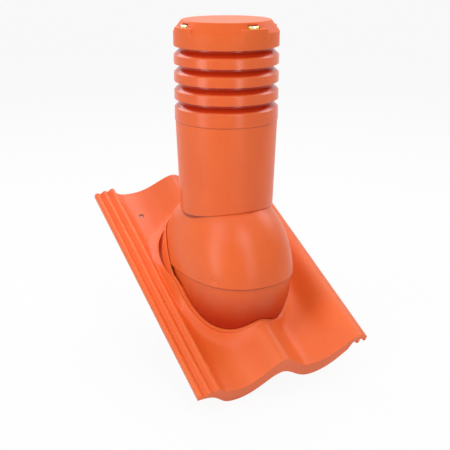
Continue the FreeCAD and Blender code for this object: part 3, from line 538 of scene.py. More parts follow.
def cap_height(radius, azimuth):
    """Height below the cap's top: flat disc, cone, and the bosses on the cone."""
    cone = np.where(radius > DISC, (DISC - radius) * SHOULDER / (COWL_RADIUS - DISC), 0.0)
    off = np.abs(radius - DISC)
    cone = cone - np.where(off < EASE, (EASE - off) ** 2 * 0.33, 0)
    dimple = DIMPLE_DEPTH * np.clip(1 - (radius / DIMPLE_RADIUS) ** 2, 0, 1)
    return soft_max(cone, boss_height(radius, azimuth), 0.5) - dimple


print("bosses stand", SHOULDER - SHELF, "mm out of the shoulder")

# %% Grid of the rain cap
CAP_TURN = math.radians(4.0)
CAP_FOOT, CAP_INSIDE, CAP_SKIN = 38.0, 77.5, 2.5


def cap_angles():
    """Angles round the cap, closer together where a boss begins or ends."""
    edge, near = math.asin(23.4 / 78), 0.06
    stops = [-QUARTER / 2, -edge - near, -edge + near, edge - near, edge + near, QUARTER / 2]
    counts = (22, 26, 26, 26, 22)
    spans = [np.linspace(*span, endpoint=False) for span in zip(stops[:-1], stops[1:], counts)]
    return (np.concatenate(spans)[None, :] + np.arange(4)[:, None] * QUARTER).reshape(1, -1)


angles = cap_angles()
disc_radii = [0.0, 0.7, 1.4, 2.0, 2.3, 3.0, 20.0, 45.0, 60.0]
edge_radii, edge_fall = [79.7, 79.9, 80.0], [0.1, 0.3, 0.6]
radii = np.concatenate([disc_radii, np.linspace(65.5, 79.4, 42), edge_radii])[:, None]
edge_drop = np.concatenate([np.zeros(len(radii) - 3), edge_fall])[:, None]
upper = np.stack([radii + 0 * angles, TOP + cap_height(radii, angles) - edge_drop], -1)
rim = [(COWL_RADIUS, 0.6), (COWL_RADIUS - 0.15, 0.2), (COWL_RADIUS - 0.5, 0.0)]
rim += [(CAP_INSIDE + 0.4, 0.0), (CAP_INSIDE + 0.1, 0.2), (CAP_INSIDE, 0.6)]
under = [(radius, CAP_FOOT - rise) for radius, rise in rim]
under = np.array(under + [(CAP_INSIDE, 17.0), (66.5, CAP_SKIN), (0, CAP_SKIN)])
lower = np.stack([under[:, :1] + 0 * angles, TOP - under[:, 1:] + 0 * angles], -1)
cap_points = around(np.concatenate([upper, lower]), angles + CAP_TURN)
cap_mesh = make_mesh("dressed_rain_cap", [(cap_points, False, True)])
print("cap faces", len(cap_mesh.polygons))

# %% [markdown]
# ## Vial slots
# Two of the bosses hold a small bubble vial in an open slot, one in front and one on the
# left, so that the pipe can be set upright. A slot is a plain pocket, and the Boolean
# modifier cuts a closed solid out of another exactly. The result is kept as a plain mesh.

# %% Cutting pockets
SLOT_HALF, SLOT_OUT, SLOT_IN, SLOT_FOOT, SLOT_HEAD = 8.95, 74.9, 68.3, 11.5, 3.0


def carve(mesh, cutters):
    """The closed mesh without the closed cutters, as a new plain mesh."""
    scene = bpy.context.scene
    block = bpy.data.objects.new("block", mesh)
    scene.collection.objects.link(block)
    made = [block]
    for cutter in cutters:
        tool = bpy.data.objects.new("cutter", cutter)
        scene.collection.objects.link(tool)
        made.append(tool)
        cut = block.modifiers.new("cut", "BOOLEAN")
        cut.operation, cut.solver, cut.object = "DIFFERENCE", "EXACT", tool
    depsgraph = bpy.context.evaluated_depsgraph_get()
    result = bpy.data.meshes.new_from_object(block.evaluated_get(depsgraph))
    for thing in made:
        bpy.data.objects.remove(thing)
    return result


def slab(low, high, reach=0.4):
    """Grid of a box with rounded long edges: a rounded (y, z) outline carried along x."""
    (x0, y0, z0), (x1, y1, z1) = low, high
    outline = rounded([(y0, z0), (y1, z0), (y1, z1), (y0, z1)], reach, 4)
    across = np.linspace(x0, x1, 5)[None, :]
    points = np.stack([across + 0 * outline[..., 0], *(outline[..., k] + 0 * across for k in (0, 1))], -1)
    middle = np.array([(y0 + y1) / 2, (z0 + z1) / 2])
    ends = [np.broadcast_to(np.r_[x, middle], points[:, :1].shape) for x in (x0, x1)]
    return np.concatenate([ends[0], points, ends[1]], 1)


def turned(points, angle):
    """Turns points about the upright axis, anticlockwise seen from above."""
    c, s = math.cos(angle), math.sin(angle)
    x, y, z = np.moveaxis(points, -1, 0)
    return np.stack([c * x - s * y, s * x + c * y, z], -1)


slot = slab((-SLOT_HALF, -SLOT_OUT, TOP - SLOT_FOOT), (SLOT_HALF, -SLOT_IN, TOP - SLOT_HEAD))
slots = [turned(slot, angle) for angle in (CAP_TURN, CAP_TURN - QUARTER)]
mesh = carve(cap_mesh, [make_mesh("slot", [(points, True, False)]) for points in slots])
show(mesh, "rain_cap", "stack", cap_finish, sharp=30)

# %% [markdown]
# ## The ball
# Hood, lower shell and socket are the same oval turned about the tilt axis, each a little
# larger or smaller. The oval is made of arcs, so its distance from any point is exact:
# measure to the arc whose sector the point lies in. A shell is found by walking from the
# ball's centre in every direction until that distance is zero.

# %% Distance to the ball
HALF_WIDTH, RADIUS = 90.0, 129.5
CROWN, SHOULDER_ARC, SIDE_ARC = 5.4, 76.3, 182.0
RISE = RADIUS - SHOULDER_ARC
REACH = SIDE_ARC - HALF_WIDTH + CROWN
LIFT = math.sqrt((SIDE_ARC - SHOULDER_ARC) ** 2 - REACH**2)
CHANGE, END_DISC = math.atan2(LIFT, REACH), RISE - LIFT


def oval_distance(along, out):
    """Distance outside the oval of a point (along the tilt axis, away from it)."""
    along = np.abs(along)
    angle = np.arctan2(out - RISE, along - CROWN)
    shoulder = np.hypot(along - CROWN, out - RISE) - SHOULDER_ARC
    side = np.hypot(along - HALF_WIDTH + SIDE_ARC, out - END_DISC) - SIDE_ARC
    result = np.where(angle > CHANGE, shoulder, side)
    result = np.where(along < CROWN, out - RADIUS, result)
    return np.where(out < END_DISC, along - HALF_WIDTH, result)


def ball_distance(points, outset):
    """Distance outside the ball grown by outset: the oval's, with out = sqrt(y^2 + z^2)."""
    return oval_distance(points[..., 0], np.hypot(points[..., 1], points[..., 2])) - outset


def ball_surface(outset):
    """The distance to the ball grown by outset, as a function of points alone."""
    return lambda points: ball_distance(points, outset)


print("the side arc meets the end disc at", round(END_DISC, 2), "mm")

# %% Walking out to a surface
def halving(shape, low, high, inside, times=40):
    """Where inside(value) turns false between low and high, by halving the way."""
    near, far = np.full(shape, float(low)), np.full(shape, float(high))
    for _ in range(times):
        middle = 0.5 * (near + far)
        held = inside(middle)
        near, far = np.where(held, middle, near), np.where(held, far, middle)
    return near


def direction(azimuth, elevation):
    """Unit vector: azimuth 0 looks along -Y, elevation 0 is level."""
    flat = np.cos(elevation)
    return np.stack([flat * np.sin(azimuth), -flat * np.cos(azimuth), np.sin(elevation) + 0 * azimuth], -1)


def walk_out(azimuth, elevation, distance):
    """Point in each direction where distance(point) is zero."""
    way = direction(azimuth, elevation)
    length = halving(way.shape[:-1], 0, 260, lambda far: distance(way * far[..., None]) < 0)
    return way * length[..., None]


def find_edge(azimuth, distance, edge):
    """Elevation at which the surface crosses an edge: edge(point) turns positive."""
    low, high = -1.35, 1.2
    return halving(azimuth.shape, low, high, lambda up: edge(walk_out(azimuth, up, distance)) < 0, 30)


def bunched(rows):
    """Shares from 0 to 1 along half a cosine, so closer together towards both ends."""
    return 0.5 - 0.5 * np.cos(np.linspace(0, math.pi, rows))


def wall_rows(azimuth, outside, inside, low_edge, high_edge, shares, radius=0.9):
    """Closed wall between two surfaces, from a low edge to a high edge, edges rounded.

    The rows bunch towards both edges, where the last ones are pulled into the wall along
    a quarter circle: inset = r - sqrt(r^2 - (r - s)^2) at a distance s from the edge.
    """
    sides = []
    for surface, sign in ((outside, 1), (inside, -1)):
        bottom, top = (find_edge(azimuth, surface, edge) for edge in (low_edge, high_edge))
        points = walk_out(azimuth, bottom + (top - bottom) * shares[:, None], surface)
        gaps = np.linalg.norm(np.diff(points, axis=0), axis=-1)
        run = np.concatenate([np.zeros_like(gaps[:1]), np.cumsum(gaps, 0)])
        near_edge = np.minimum(run, run[-1] - run)
        inset = radius - np.sqrt(radius**2 - np.clip(radius - near_edge, 0, radius) ** 2)
        length = np.linalg.norm(points, axis=-1)
        sides.append(points * (1 - sign * inset / length)[..., None])
    return np.concatenate([sides[0], sides[1][::-1]])


ahead = walk_out(np.zeros(1), np.zeros(1), ball_surface(0))
print("walking straight ahead meets the ball at", ahead.round(3))

# %% [markdown]
# ## Upper hood
# The hood joins the ball to an upright neck that goes up inside the casing. Taking the
# smaller of the two distances joins them, and a soft minimum rounds the inner corner just
# as the mould does. Its lower edge is level where it shows and climbs at the back, inside
# the socket, to leave room for tilting.

# %% Upper hood
SEAM_RISE, REAR_START, REAR_CLIMB = 4.0, 60.0, math.tan(math.radians(28))
NECK_TOP, NECK_START, HOOD_WALL, FILLET = FRONT_RISE + 34.0, 20, 2.5, 2.5


def hood_distance(inset):
    """The smaller of the ball's and the neck's distance, blended where they are close."""

    def distance(points):
        ball = ball_distance(points, -inset)
        neck = np.hypot(points[..., 0], points[..., 1]) - (NECK_RADIUS - inset)
        neck = np.where(points[..., 2] > NECK_START, neck, 1e3)
        return -soft_max(-ball, -neck, FILLET)

    return distance


def edge_line(rise):
    """Height above an edge that is level and then climbs behind the ball."""

    def edge(points):
        return points[..., 2] - rise - np.clip(points[..., 1] - REAR_START, 0, None) * REAR_CLIMB

    return edge


def level_edge(height):
    """Height above a level edge."""
    return lambda points: points[..., 2] - height


mark_turn, mark_up = math.radians(32), math.radians(9)
mark_out = RISE + SHOULDER_ARC * math.sin(mark_turn)
mark_side = CROWN + SHOULDER_ARC * math.cos(mark_turn)
mark_azimuth = math.atan2(mark_side, mark_out * math.cos(mark_up))
close = np.linspace(-0.075, 0.075, 46)
columns = [full_turn(264)[0], mark_azimuth + close, 2 * math.pi - mark_azimuth + close]
azimuth = np.unique(np.concatenate(columns))[None, :]
shares = np.unique(np.concatenate([bunched(76), np.linspace(0.01, 0.2, 50)]))
outside, inside = hood_distance(0), hood_distance(HOOD_WALL)
shell = wall_rows(azimuth, outside, inside, edge_line(SEAM_RISE), level_edge(NECK_TOP), shares)
print("hood grid", shell.shape)

# %% [markdown]
# Two shallow round marks on the hood show where a locking screw goes. They are pressed
# in: a point near a mark moves inwards by an amount that depends only on its distance.

# %% Screw marks pressed into the hood
RING_RADIUS, RING_WIDTH, RING_DEPTH = 6.6, 0.8, 0.9
PIT_RADIUS, PIT_DEPTH = 1.5, 1.2


def press(points, middle, profile):
    """Moves points towards the ball's centre by profile(distance from the middle)."""
    depth = profile(np.linalg.norm(points - middle, axis=-1))
    return points * (1 - depth / np.linalg.norm(points, axis=-1))[..., None]


def mark_profile(distance):
    """A ring groove with steep sides and a small pit: depth * exp(-((d - r) / w)^4)."""
    groove = RING_DEPTH * np.exp(-(((distance - RING_RADIUS) / RING_WIDTH) ** 4))
    return groove + PIT_DEPTH * np.exp(-((distance / PIT_RADIUS) ** 4))


for side in (-1, 1):
    middle = np.array([side * mark_side, -mark_out * math.cos(mark_up), mark_out * math.sin(mark_up)])
    shell[: len(shares)] = press(shell[: len(shares)], middle, mark_profile)
dress("upper_shell", "stack", hood_finish, shell + [0, 0, BALL_HEIGHT])

# %% [markdown]
# ## Lower shell
# The lower shell lies half a millimetre inside the hood and ends in a flange under the
# tile. Its wall is again two surfaces between two edges: the upper edge follows the hood,
# and the lower edge is a plane that slopes with the roof. The flange is a flat ring, whose
# hole is the ball's section at its height and whose outline is the oval seen from above.

# %% Wall of the lower shell
SOCKET_DEPTH, FLANGE_TOP = 66.0, 4.0
SHELL_OUTSIDE, SHELL_INSIDE, SHELL_TOP = -3.0, -5.5, 50.0


def flange_edge(points):
    """Height above a plane that slopes with the roof, under the socket."""
    height = points[..., 2] * math.cos(SLOPE) - points[..., 1] * math.sin(SLOPE)
    return height + SOCKET_DEPTH + FLANGE_TOP


outside, inside = ball_surface(SHELL_OUTSIDE), ball_surface(SHELL_INSIDE)
shell = wall_rows(TURN, outside, inside, flange_edge, edge_line(SHELL_TOP), bunched(70))
print("lower shell grid", shell.shape)

# %% Flange plates under the tile
SLACK, FLANGE_REACH, FLANGE = 8.0, 17.4, 3.0
SHELL_HOLE, SOCKET_HOLE, GASKET = -4.2, 1.8, 2.0


def section(outset, out, reach):
    """Radius at each angle round the ball where the oval's distance, at the place across
    and out(place up the slope) away from the tilt axis, equals outset."""

    def inside(radius):
        return oval_distance(radius * np.sin(TURN), out(radius * np.cos(TURN))) - outset < 0

    return halving(TURN.shape, 0, reach, inside)


def plate(low, high, hole_outset):
    """Flat ring in the tile's frame, from the ball's section at a height, where out is
    sqrt(y^2 + h^2), to the oval seen from above, its halves moved apart by the slack."""
    outer = section(FLANGE_REACH, lambda y: np.clip(np.abs(-y - SLACK) - SLACK, 0, None), 300)
    inner = [section(hole_outset, lambda y: np.hypot(y, height), 200) for height in (low, high)]
    pairs = ((inner[0], low), (outer, low), (outer, high), (inner[1], high))
    corners = np.stack([np.stack([radius, height + 0 * radius], -1)[0] for radius, height in pairs])
    return to_roof(around(rounded(corners, SOFT), TURN))


flange = plate(-SOCKET_DEPTH - GASKET - FLANGE, -SOCKET_DEPTH - GASKET, SHELL_HOLE)
dress("lower_shell", "tile", shell_finish, shell + [0, 0, BALL_HEIGHT], flange)

# %% [markdown]
# ## Tile
# Every cut along the slope looks alike: a thin skin that turns down into a front apron.
# Only the heights change from left to right, along one waved line. So the tile is a closed
# outline carried across the roof, and a smooth curve through a few measured points, added
# to its corners, gives the wave.

# %% A smooth line through measured points
TILE_LINE = np.array(
    [(-101.5, -35.1), (-92, -42.5), (-76, -46), (-54, -43), (-33, -28), (-2, 0), (23, -15)]
    + [(48, -31.5), (74, -28.6), (98, -17), (119, 3), (137, 9.5), (151, 2.5)]
)
APRON_LINE = np.array(
    [(-137.5, -47.5), (-106, -54), (-88, -69.5), (-72, -74.2), (-50, -70), (-29, -56), (4, -33)]
    + [(28, -45), (52, -59), (74, -59), (102, -43.5), (121.5, -21)]
)


def smooth_line(knots, across):
    """Natural cubic spline through the knots, heights as a function of the place across.

    The second derivatives M solve one linear system, and each span is then the usual
    cubic in the distances to its two knots.
    """
    x, z = knots[:, 0], knots[:, 1]
    step, slope = np.diff(x), np.diff(z) / np.diff(x)
    rows = np.arange(1, len(x) - 1)
    system = np.eye(len(x))
    system[rows, rows - 1], system[rows, rows + 1] = step[:-1], step[1:]
    system[rows, rows] = 2 * (step[:-1] + step[1:])
    right = np.zeros(len(x))
    right[1:-1] = 6 * (slope[1:] - slope[:-1])
    bend = np.linalg.solve(system, right)
    k = np.clip(np.searchsorted(x, across) - 1, 0, len(x) - 2)
    a, b, h = x[k + 1] - across, across - x[k], step[k]
    curve = (bend[k] * a**3 + bend[k + 1] * b**3) / (6 * h)
    return curve + (z[k] / h - bend[k] * h / 6) * a + (z[k + 1] / h - bend[k + 1] * h / 6) * b


print("crest at", smooth_line(TILE_LINE, np.array([0.0])).round(2), "mm")

# %% The tile's lines across the roof
LEFT, WAVE_START, APRON_END = -134.5, -101.5, 121.5
TOOTH, TOOTH_END, LIP, RIGHT = 134.5, 138.5, 147.5, 151.0
RIBS = np.array([-133.0, -119.5, -106.0])
RIB_HALF, RIB_DEPTH, RIB_TOP, RIB_STEP, SKIN = 4.5, 3.5, -38.0, 3.2, 4.0
RIB_ARC = (RIB_HALF**2 + RIB_DEPTH**2) / (2 * RIB_DEPTH)


def rib_line(across):
    """Three round ribs, each standing a little higher than the one outside it."""
    number = np.argmin(np.abs(across[:, None] - RIBS), axis=1)
    off = across - RIBS[number]
    round_top = np.sqrt(RIB_ARC**2 - np.clip(off, -RIB_HALF, RIB_HALF) ** 2)
    arc = RIB_TOP + RIB_STEP * number - RIB_ARC + round_top
    feet = np.stack([RIBS - RIB_HALF, RIBS + RIB_HALF], -1).ravel()
    lows = np.repeat(RIB_TOP - RIB_DEPTH + RIB_STEP * np.arange(3), 2)
    return np.where(np.abs(off) < RIB_HALF, arc, np.interp(across, feet, lows))


def top_line(across):
    """Upper side: the ribs on the left, then the wave."""
    return np.where(across < WAVE_START, rib_line(across), smooth_line(TILE_LINE, across))


def low_line(across):
    """Underside: a straight line under the ribs, one skin below the wave, tooth and lip."""
    under_ribs = np.interp(across, (LEFT, WAVE_START), (-45.5, -39.1))
    line = np.where(across < WAVE_START, under_ribs, top_line(across) - SKIN)
    line = np.where(across < LEFT, -47.5, line)
    line = np.where(across > TOOTH, -9.5, line)
    line = np.where(across > TOOTH_END, np.interp(across, (TOOTH_END, LIP), (-1, -2)), line)
    return np.where(across > LIP, -7.5, line)


def apron_line(across):
    """Lower edge of the front apron, up to where it ends on the right."""
    end = np.interp(across, (APRON_END, 126, TOOTH), (-21, -5, -2.6))
    line = np.where(across < TOOTH, end, 1e3)
    return np.where(across < APRON_END, smooth_line(APRON_LINE, across), line)


print("heights at ribs and lip", top_line(np.array([*RIBS, LIP])).round(1), "mm")

# %% [markdown]
# ## Upstand
# Water must not run into the hole, so the tile sweeps up to its edge, in front of the
# ball and most of all on the left. The hole is the ball's room and the same room once more
# up the slope, and the sweep is a power of the distance to it, which fades to nothing
# 26 mm away. Sculpting could do this, but a formula stays smooth.

# %% The tile's sweep up to the hole
HOLE_OUTSET, SWEEP, RISE_LEFT = 3.0, 26, 20


def hole_distance(points):
    """Smaller of the distances to the ball's room and to its copy up the slope."""
    rooms = [ball_distance(points + [0, way * SLACK, 0], HOLE_OUTSET) for way in (-1, 1)]
    return np.minimum(*rooms)


def rim_line(x, y):
    """Heights of the tile's edge at the hole, a flatter wave with a rise on the left, and
    of the wave itself; the rise is a bell exp(-((y + 8) / 50)^2) along the slope."""
    wave = smooth_line(TILE_LINE, np.clip(x, WAVE_START + 0.1, RIGHT).ravel()).reshape(np.shape(x))
    rise = RISE_LEFT * np.exp(-(((y + 8) / 50) ** 2)) * np.clip(-x / 70, 0, 1)
    return 0.7 * wave - 0.5 + rise, wave


def upstand(x, y):
    """How far the tile sweeps up: (1 - d / 26)^3 of the way at a distance d from the hole."""
    edge, wave = rim_line(x, y)
    distance = np.clip(hole_distance(np.stack([x, y - SLACK, wave], -1)), 0, SWEEP)
    beside = np.clip((x - WAVE_START - 0.1) / 8.4, 0, 1)
    return np.clip(edge - wave, 0, None) * (1 - distance / SWEEP) ** 3 * beside**2 * (3 - 2 * beside)


print("sweep beside the ball", upstand(np.array([-90.0]), np.array([0.0])).round(1), "mm")

# %% [markdown]
# ## Tile body
# The columns lie close together where the outline bends, and in pairs a few hundredths
# apart where it jumps: at the turned-down left edge, beside the ribs, and at the tooth and
# the lip. Between such a pair lies an upright wall. Long faces along the slope are divided,
# so that the sweep has points to lift.

# %% Tile body
FRONT, BACK, APRON_WALL = -208.0, 249.0, 4.0
HEAD_START, HEAD_LEAN = BACK - 20.0, math.tan(math.radians(18))
JUMPS, JUMP_HALF = np.array([LEFT, WAVE_START, TOOTH, TOOTH_END, LIP]), 0.02
EDGE_START, EDGE_ROUND = RIGHT - 1, 0.9

ribs = [np.linspace(rib - RIB_HALF, rib + RIB_HALF, 24) for rib in RIBS]
wave = np.linspace(WAVE_START + 0.1, RIGHT - 0.7, 230)
bends = [APRON_END, 126, 150.6, 150.85, RIGHT]
across = np.unique(np.concatenate([*ribs, wave, bends, JUMPS - JUMP_HALF, JUMPS + JUMP_HALF]))
drop = EDGE_ROUND - EDGE_ROUND * np.sqrt(1 - np.clip(across - EDGE_START, 0, 1) ** 2)
above, below = top_line(across) - np.where(across > EDGE_START, drop, 0), low_line(across)
apron = np.minimum(apron_line(across), below - 0.3)
back = [np.where(across < WAVE_START, BACK, HEAD_START - line * HEAD_LEAN) for line in (above, below)]
lengths = [back[0], FRONT, FRONT, FRONT + APRON_WALL, FRONT + APRON_WALL, back[1]]
heights = [above, above, apron, apron, below, below]
corners = np.stack([np.stack([y + 0 * h, h], -1) for y, h in zip(lengths, heights)])


def divided(loop, row, count=96):
    """Puts evenly spaced rows between a row and the next."""
    share = np.linspace(0, 1, count + 2)[1:-1, None, None]
    more = loop[row] * (1 - share) + loop[row + 1] * share
    return np.concatenate([loop[: row + 1], more, loop[row + 1 :]])


UPPER_SIDE, LOWER_SIDE = 6, 34
loop = divided(divided(rounded(corners, 0.9), LOWER_SIDE), UPPER_SIDE)
body = np.stack([across[None, :] + 0 * loop[..., 0], loop[..., 0], loop[..., 1]], -1)
body[..., 2] += upstand(body[..., 0], body[..., 1])
middle = np.broadcast_to(body.mean(0)[None], body.shape)
body = np.concatenate([middle[:, :1], body, middle[:, -1:]], 1)
print("tile columns", len(across))

# %% [markdown]
# ## The tile's hole and what hangs under it
# From its middle every direction meets the hole's room once, so walking out gives the
# cutter, and the cut leaves a crescent of play open behind the ball. A slim leaning
# cylinder cuts the nail hole. Two nibs that hang on the batten and six posts for the
# flange screws are closed pieces of the same moulding, sunk into its underside.

# %% Hole, nibs and posts
NAIL, NAIL_RADIUS, NAIL_REACH, NAIL_LEAN = (-72, 183, -48), 2.7, 9, math.radians(2.5)
NIB_SIDE, NIB_HALF, NIB_BACK, NIB_FRONT, NIB_FOOT = 78, 18, 215, 227, -76
POST_FOOT, POST_BORE, POST_RADIUS, SUNK = -63, 1.8, 5.5, 2.0
ROUND = full_turn(40)

azimuth, elevation = full_turn(280), np.linspace(-math.pi / 2, math.pi / 2, 150)[:, None]
room = walk_out(azimuth + 0 * elevation, elevation + 0 * azimuth, hole_distance) + [0, SLACK, 0]
rod = np.array([(0, -NAIL_REACH), (NAIL_RADIUS, -NAIL_REACH), (NAIL_RADIUS, NAIL_REACH), (0, NAIL_REACH)])
nail = around(rod[:, None], ROUND)
nail = nail + nail[..., 2:] * [-math.tan(NAIL_LEAN), 0, 0] + NAIL
cutters = [make_mesh("cutter", [(to_roof(points), False, True)]) for points in (room, nail)]
mesh = carve(make_mesh("uncut tile", [(to_roof(body), True, False)]), cutters)
print("tile faces after the cuts", len(mesh.polygons))


def sunk(x, y):
    """Height just inside the skin, up to which a hanging piece reaches."""
    x, y = np.array([x]), np.array([float(y)])
    return float((top_line(x) + upstand(x, y))[0]) - SUNK


hung = []
for x in (-NIB_SIDE, NIB_SIDE):
    nib = slab((x - NIB_HALF, NIB_BACK, NIB_FOOT), (x + NIB_HALF, NIB_FRONT, sunk(x, NIB_FRONT)), 1.0)
    hung.append((to_roof(nib), True, False))
posts = [(sx * 55.7, SLACK + sy * 133) for sx in (-1, 1) for sy in (-1, 1)]
for x, y in posts + [(-101.4, SLACK), (101.4, SLACK)]:
    height = sunk(x, y)
    tube = [(POST_BORE, POST_FOOT), (POST_RADIUS, POST_FOOT), (POST_RADIUS, height), (POST_BORE, height)]
    hung.append((to_roof(around(rounded(tube, SOFT), ROUND) + [x, y, 0]), True, True))
work = bmesh.new()
for part in (mesh, make_mesh("hung", hung)):
    work.from_mesh(part)
work.to_mesh(mesh)
work.free()
show(mesh, "tile_base", "tile", tile_finish)

# %% [markdown]
# ## Socket collar
# The collar is the raised rim round the ball. In front and on the left it stands a lip
# above the tile's own edge, and behind, where the tile drops away from the upright ball,
# it climbs over the crescent of play. Its wall is worked out in the tile's frame as the
# ball's shells are, with that line as its upper edge, and a flat flange closes it below.

# %% Socket collar
RIM_LIP, RIM_FOOT, COLLAR_OUTSET = 1.0, 64.5, 3.02


def rim_height(points):
    """Height above the rim: the tile's own edge and a lip in front, climbing behind."""
    x, y, z = np.moveaxis(points, -1, 0)
    edge, _ = rim_line(x, y)
    climb = np.interp(y, (-20, 0, 22, 40, 60, 130), (-60, -12, -5, 4, 11, 13))
    return z - soft_max(edge + RIM_LIP - 2 * np.clip(y, 0, None), climb, 3.0)


def collar_inside(points):
    """Close to the lower shell in front, and clear of the hood where the hood dips in."""
    return ball_distance(points, np.interp(points[..., 1], (-24, 8), (-2.6, 0.5)))


outside = ball_surface(COLLAR_OUTSET)
foot = level_edge(-RIM_FOOT)
collar = wall_rows(full_turn(420), outside, collar_inside, foot, rim_height, bunched(60))
flange = plate(-SOCKET_DEPTH, -SOCKET_DEPTH + FLANGE, SOCKET_HOLE)
dress("socket_collar", "tile", tile_finish, to_roof(collar), flange)

# %% [markdown]
# ## Pieces that keep their solids
# What lies inside or underneath is plain turned or flat stock, so its solid is right and
# only the surface is missing: pipe plastic with faint drawing lines, soft foam, black
# rubber with a dusty bloom, plain steel, the louvres' cage in a darker terracotta that is
# painted shade, and the clear vials, whose spirit is yellow with a painted glow and whose
# bubble is white as a painted highlight.

# %% Finishes of the kept pieces
def pipe_plastic():
    """Grey pipe: drawing lines are noise squeezed along the pipe's length."""
    finish = Finish("pipe plastic")
    lines = finish.noise(1.6, 3, place=finish.stretched(1, 1, 0.04))
    cloud = finish.noise(30, 3)
    gloss = {"Roughness": 0.38 + 0.16 * lines, "Normal": finish.bump(lines, 0.04)}
    return finish.two_tone(0.6 * cloud + 0.4 * lines, (118, 121, 124), (146, 149, 151), **gloss)


def foam():
    """Pale foam: rounded cells from a cell pattern, dust in its hollows."""
    finish = Finish("foam")
    inputs = {"Vector": finish.place, "Scale": 420.0}
    cells = finish.node("ShaderNodeTexVoronoi", {"feature": "SMOOTH_F1"}, inputs)
    gloss = {"Roughness": 0.88 + 0.1 * cells, "Normal": finish.bump(cells, 0.35)}
    share = 0.5 * finish.noise(25, 3) + 0.5 * cells
    return finish.two_tone(share, (196, 192, 180), (232, 230, 222), **gloss)


def rubber():
    """Black rubber with a grey bloom where the noise is high."""
    finish = Finish("rubber")
    cloud, fine = finish.noise(18, 4), finish.noise(0.8, 2)
    gloss = {"Roughness": 0.62 + 0.2 * cloud, "Normal": finish.bump(fine, 0.06)}
    return finish.two_tone(0.7 * cloud + 0.3 * fine, (26, 26, 27), (52, 52, 53), **gloss)


def steel():
    """Plain steel: turning marks are noise squeezed across the axis."""
    finish = Finish("steel")
    marks = finish.noise(0.7, 3, place=finish.stretched(1, 1, 6))
    gloss = {"Metallic": 1.0, "Roughness": 0.26 + 0.2 * marks, "Normal": finish.bump(marks, 0.02)}
    return finish.two_tone(marks, (168, 168, 166), (205, 204, 200), **gloss)


def clear():
    """Clear tube: a little haze from handling."""
    finish = Finish("clear tube")
    haze = finish.noise(2.5, 3)
    gloss = {"Roughness": 0.03 + 0.08 * haze, "Transmission_Weight": 1.0, "IOR": 1.49}
    return finish.two_tone(haze, (250, 252, 250), (240, 246, 242), **gloss)


def spirit():
    """Yellow spirit with a painted glow: white near the middle of each tube, where the bubble stands, as a
    painted highlight.
    """
    finish = Finish("spirit")
    swirl = finish.noise(3, 3)
    bubble_highlight_centres = [(5, -71.4, TOP - 7), (-71.4, -5, TOP - 7)]
    front, left = (finish.near(ALL, middle, 4.2, 2.8) for middle in bubble_highlight_centres)
    yellow = finish.blend(0.5 * swirl, paint(240, 226, 40), paint(250, 240, 110))
    tone = finish.blend(front + left, yellow, paint(255, 255, 250))
    roughness = 0.1 + 0.06 * swirl
    # The spirit glows a little as painted light, and the white at the bubble is a painted highlight.
    return finish.surface(Base_Color=tone, Roughness=roughness, Emission_Color=tone, Emission_Strength=0.12)


# %% Finishes on the kept solids
KEPT = [
    (pipe_plastic(), "inner_duct", "neck_spacer"),
    (foam(), "insulation_sleeve"),
    (rubber(), "flange_gasket", "wiper_seal"),
    (steel(), "flange_screws"),
    (clear(), "level_vial_front", "level_vial_left"),
    (spirit(), "vial_fluid_front", "vial_fluid_left"),
    # The cage is a darker terracotta than the rest, as painted shade inside the louvres.
    (terracotta("cage", (206, 62, 30), (188, 50, 22), 0.5, 0.05), "louvre_cage"),
]
for finish, *names in KEPT:
    for name in names:
        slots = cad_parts[name].data.materials
        for place in range(len(slots)):
            slots[place] = finish
print("kept solids", sum(len(row) - 1 for row in KEPT))

# %% [markdown]
# ## Camera
# The view was found once, by moving a camera until the outline of the solids fell on the
# real one in the picture. A fairly long lens keeps the pipe's sides nearly parallel, and
# a place in front, to the left and a little above shows both vials and the tile's front.

# %% Camera
camera_data = bpy.data.cameras.new("camera")
camera_data.sensor_width = 36.0
camera_data.lens = 64.38
camera = bpy.data.objects.new("camera", camera_data)
camera.location = (-0.5890, -1.0867, TOP * MM + 0.10472)
camera.rotation_euler = (math.radians(90 - 19.21), 0, math.radians(-28.36))
scene = bpy.context.scene
scene.collection.objects.link(camera)
scene.camera = camera
scene.view_settings.view_transform = "Standard"
print("camera at", tuple(camera.location))

# %% [markdown]
# ## Studio
# The object stands on a wide pale floor in white surroundings. The camera, reflections
# and rays through clear pieces see the surroundings at full white, but they light the
# object only faintly. The floor glows nearly white to the same rays and keeps the shadow.

# %% Surroundings and floor
SURROUND_LIGHT, FLOOR_GLOW, FLOOR_HALF = 0.1, 0.93, 40.0


def seen_or_mirrored(tree):
    """1 for rays of the camera, of a reflection or through something clear, else 0."""
    path = tree.nodes.new("ShaderNodeLightPath")
    seen, *others = (path.outputs[f"Is {kind} Ray"] for kind in ("Camera", "Glossy", "Transmission"))
    for other in others:
        either = tree.nodes.new("ShaderNodeMath")
        either.operation = "MAXIMUM"
        tree.links.new(seen, either.inputs[0])
        tree.links.new(other, either.inputs[1])
        seen = either.outputs[0]
    return seen


def mixed(tree, share, first, second, output):
    """Sends a mix of two shaders to the network's output."""
    mix = tree.nodes.new("ShaderNodeMixShader")
    for source, socket in zip((share, first.outputs[0], second.outputs[0]), mix.inputs):
        tree.links.new(source, socket)
    tree.links.new(mix.outputs[0], tree.nodes[output].inputs[0])


scene.world = bpy.data.worlds.new("studio")
scene.world.use_nodes = True
tree = scene.world.node_tree
faint, white = tree.nodes["Background"], tree.nodes.new("ShaderNodeBackground")
for light, strength in ((faint, SURROUND_LIGHT), (white, 1.0)):
    light.inputs["Color"].default_value = (1, 1, 1, 1)
    light.inputs["Strength"].default_value = strength
mixed(tree, seen_or_mirrored(tree), faint, white, "World Output")

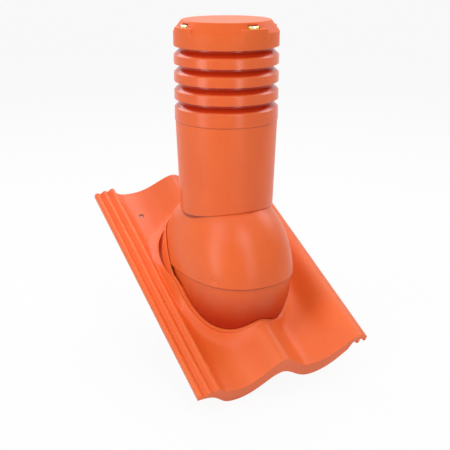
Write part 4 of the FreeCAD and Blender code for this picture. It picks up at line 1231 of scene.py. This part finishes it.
level = cad_box[0][2] - 0.0005
floor_corners = [(x * FLOOR_HALF, y * FLOOR_HALF, level) for x, y in ((-1, -1), (1, -1), (1, 1), (-1, 1))]
floor_mesh = bpy.data.meshes.new("floor")
floor_mesh.from_pydata(floor_corners, [], [(0, 1, 2, 3)])
floor = bpy.data.objects.new("floor", floor_mesh)
scene.collection.objects.link(floor)
pale = Finish("pale floor")
grain = pale.noise(40, 3)
tone = pale.blend(grain, (0.8, 0.8, 0.8, 1), (0.83, 0.83, 0.83, 1))
pale.surface(Base_Color=tone, Roughness=0.7 + 0.1 * grain)
tree = pale.material.node_tree
share = Wire(pale, seen_or_mirrored(tree)) * FLOOR_GLOW
mixed(tree, share.socket, pale.shader, pale.nodes.new("ShaderNodeEmission"), "Material Output")
floor_mesh.materials.append(pale.material)
print("floor at", level, "m")

# %% [markdown]
# ## Softboxes
# Two tall softboxes in front, with a dark gap between them, draw soft bands down the pipe.
# Two more stand high above them, one hangs overhead, and three behind light the upper end
# of the tile and the rims. Their powers were found by rendering one lamp at a time.

# %% Softboxes
AIM = Vector((0, 0, 0.25))
LAMPS = [
    ("left softbox", (-1.84, -0.28, 0.65), 0.7, 1.4, 11),
    ("right softbox", (-0.01, -1.86, 0.65), 0.4, 1.4, 6.5),
    ("high left", (-1.26, -0.19, 1.66), 0.9, 0.9, 7.5),
    ("high right", (-0.01, -1.27, 1.66), 0.8, 0.8, 9),
    ("overhead", (-0.02, -0.03, 2.15), 1.5, 1.5, 5),
    ("rear left", (-0.55, 1.39, 1.42), 0.9, 0.9, 8),
    ("rear right", (1.5, 0.04, 1.42), 0.9, 0.9, 8),
    ("rear", (0.58, 1.07, 1.7), 1.2, 1.2, 15),
]
for name, place, width, height, power in LAMPS:
    data = bpy.data.lights.new(name, "AREA")
    data.shape = "RECTANGLE"
    data.size, data.size_y = width, height
    data.energy = power
    lamp = bpy.data.objects.new(name, data)
    lamp.location = place
    lamp.rotation_euler = (AIM - Vector(place)).to_track_quat("-Z", "Y").to_euler()
    scene.collection.objects.link(lamp)
print("lamps", len(LAMPS), "with", sum(row[-1] for row in LAMPS), "W")
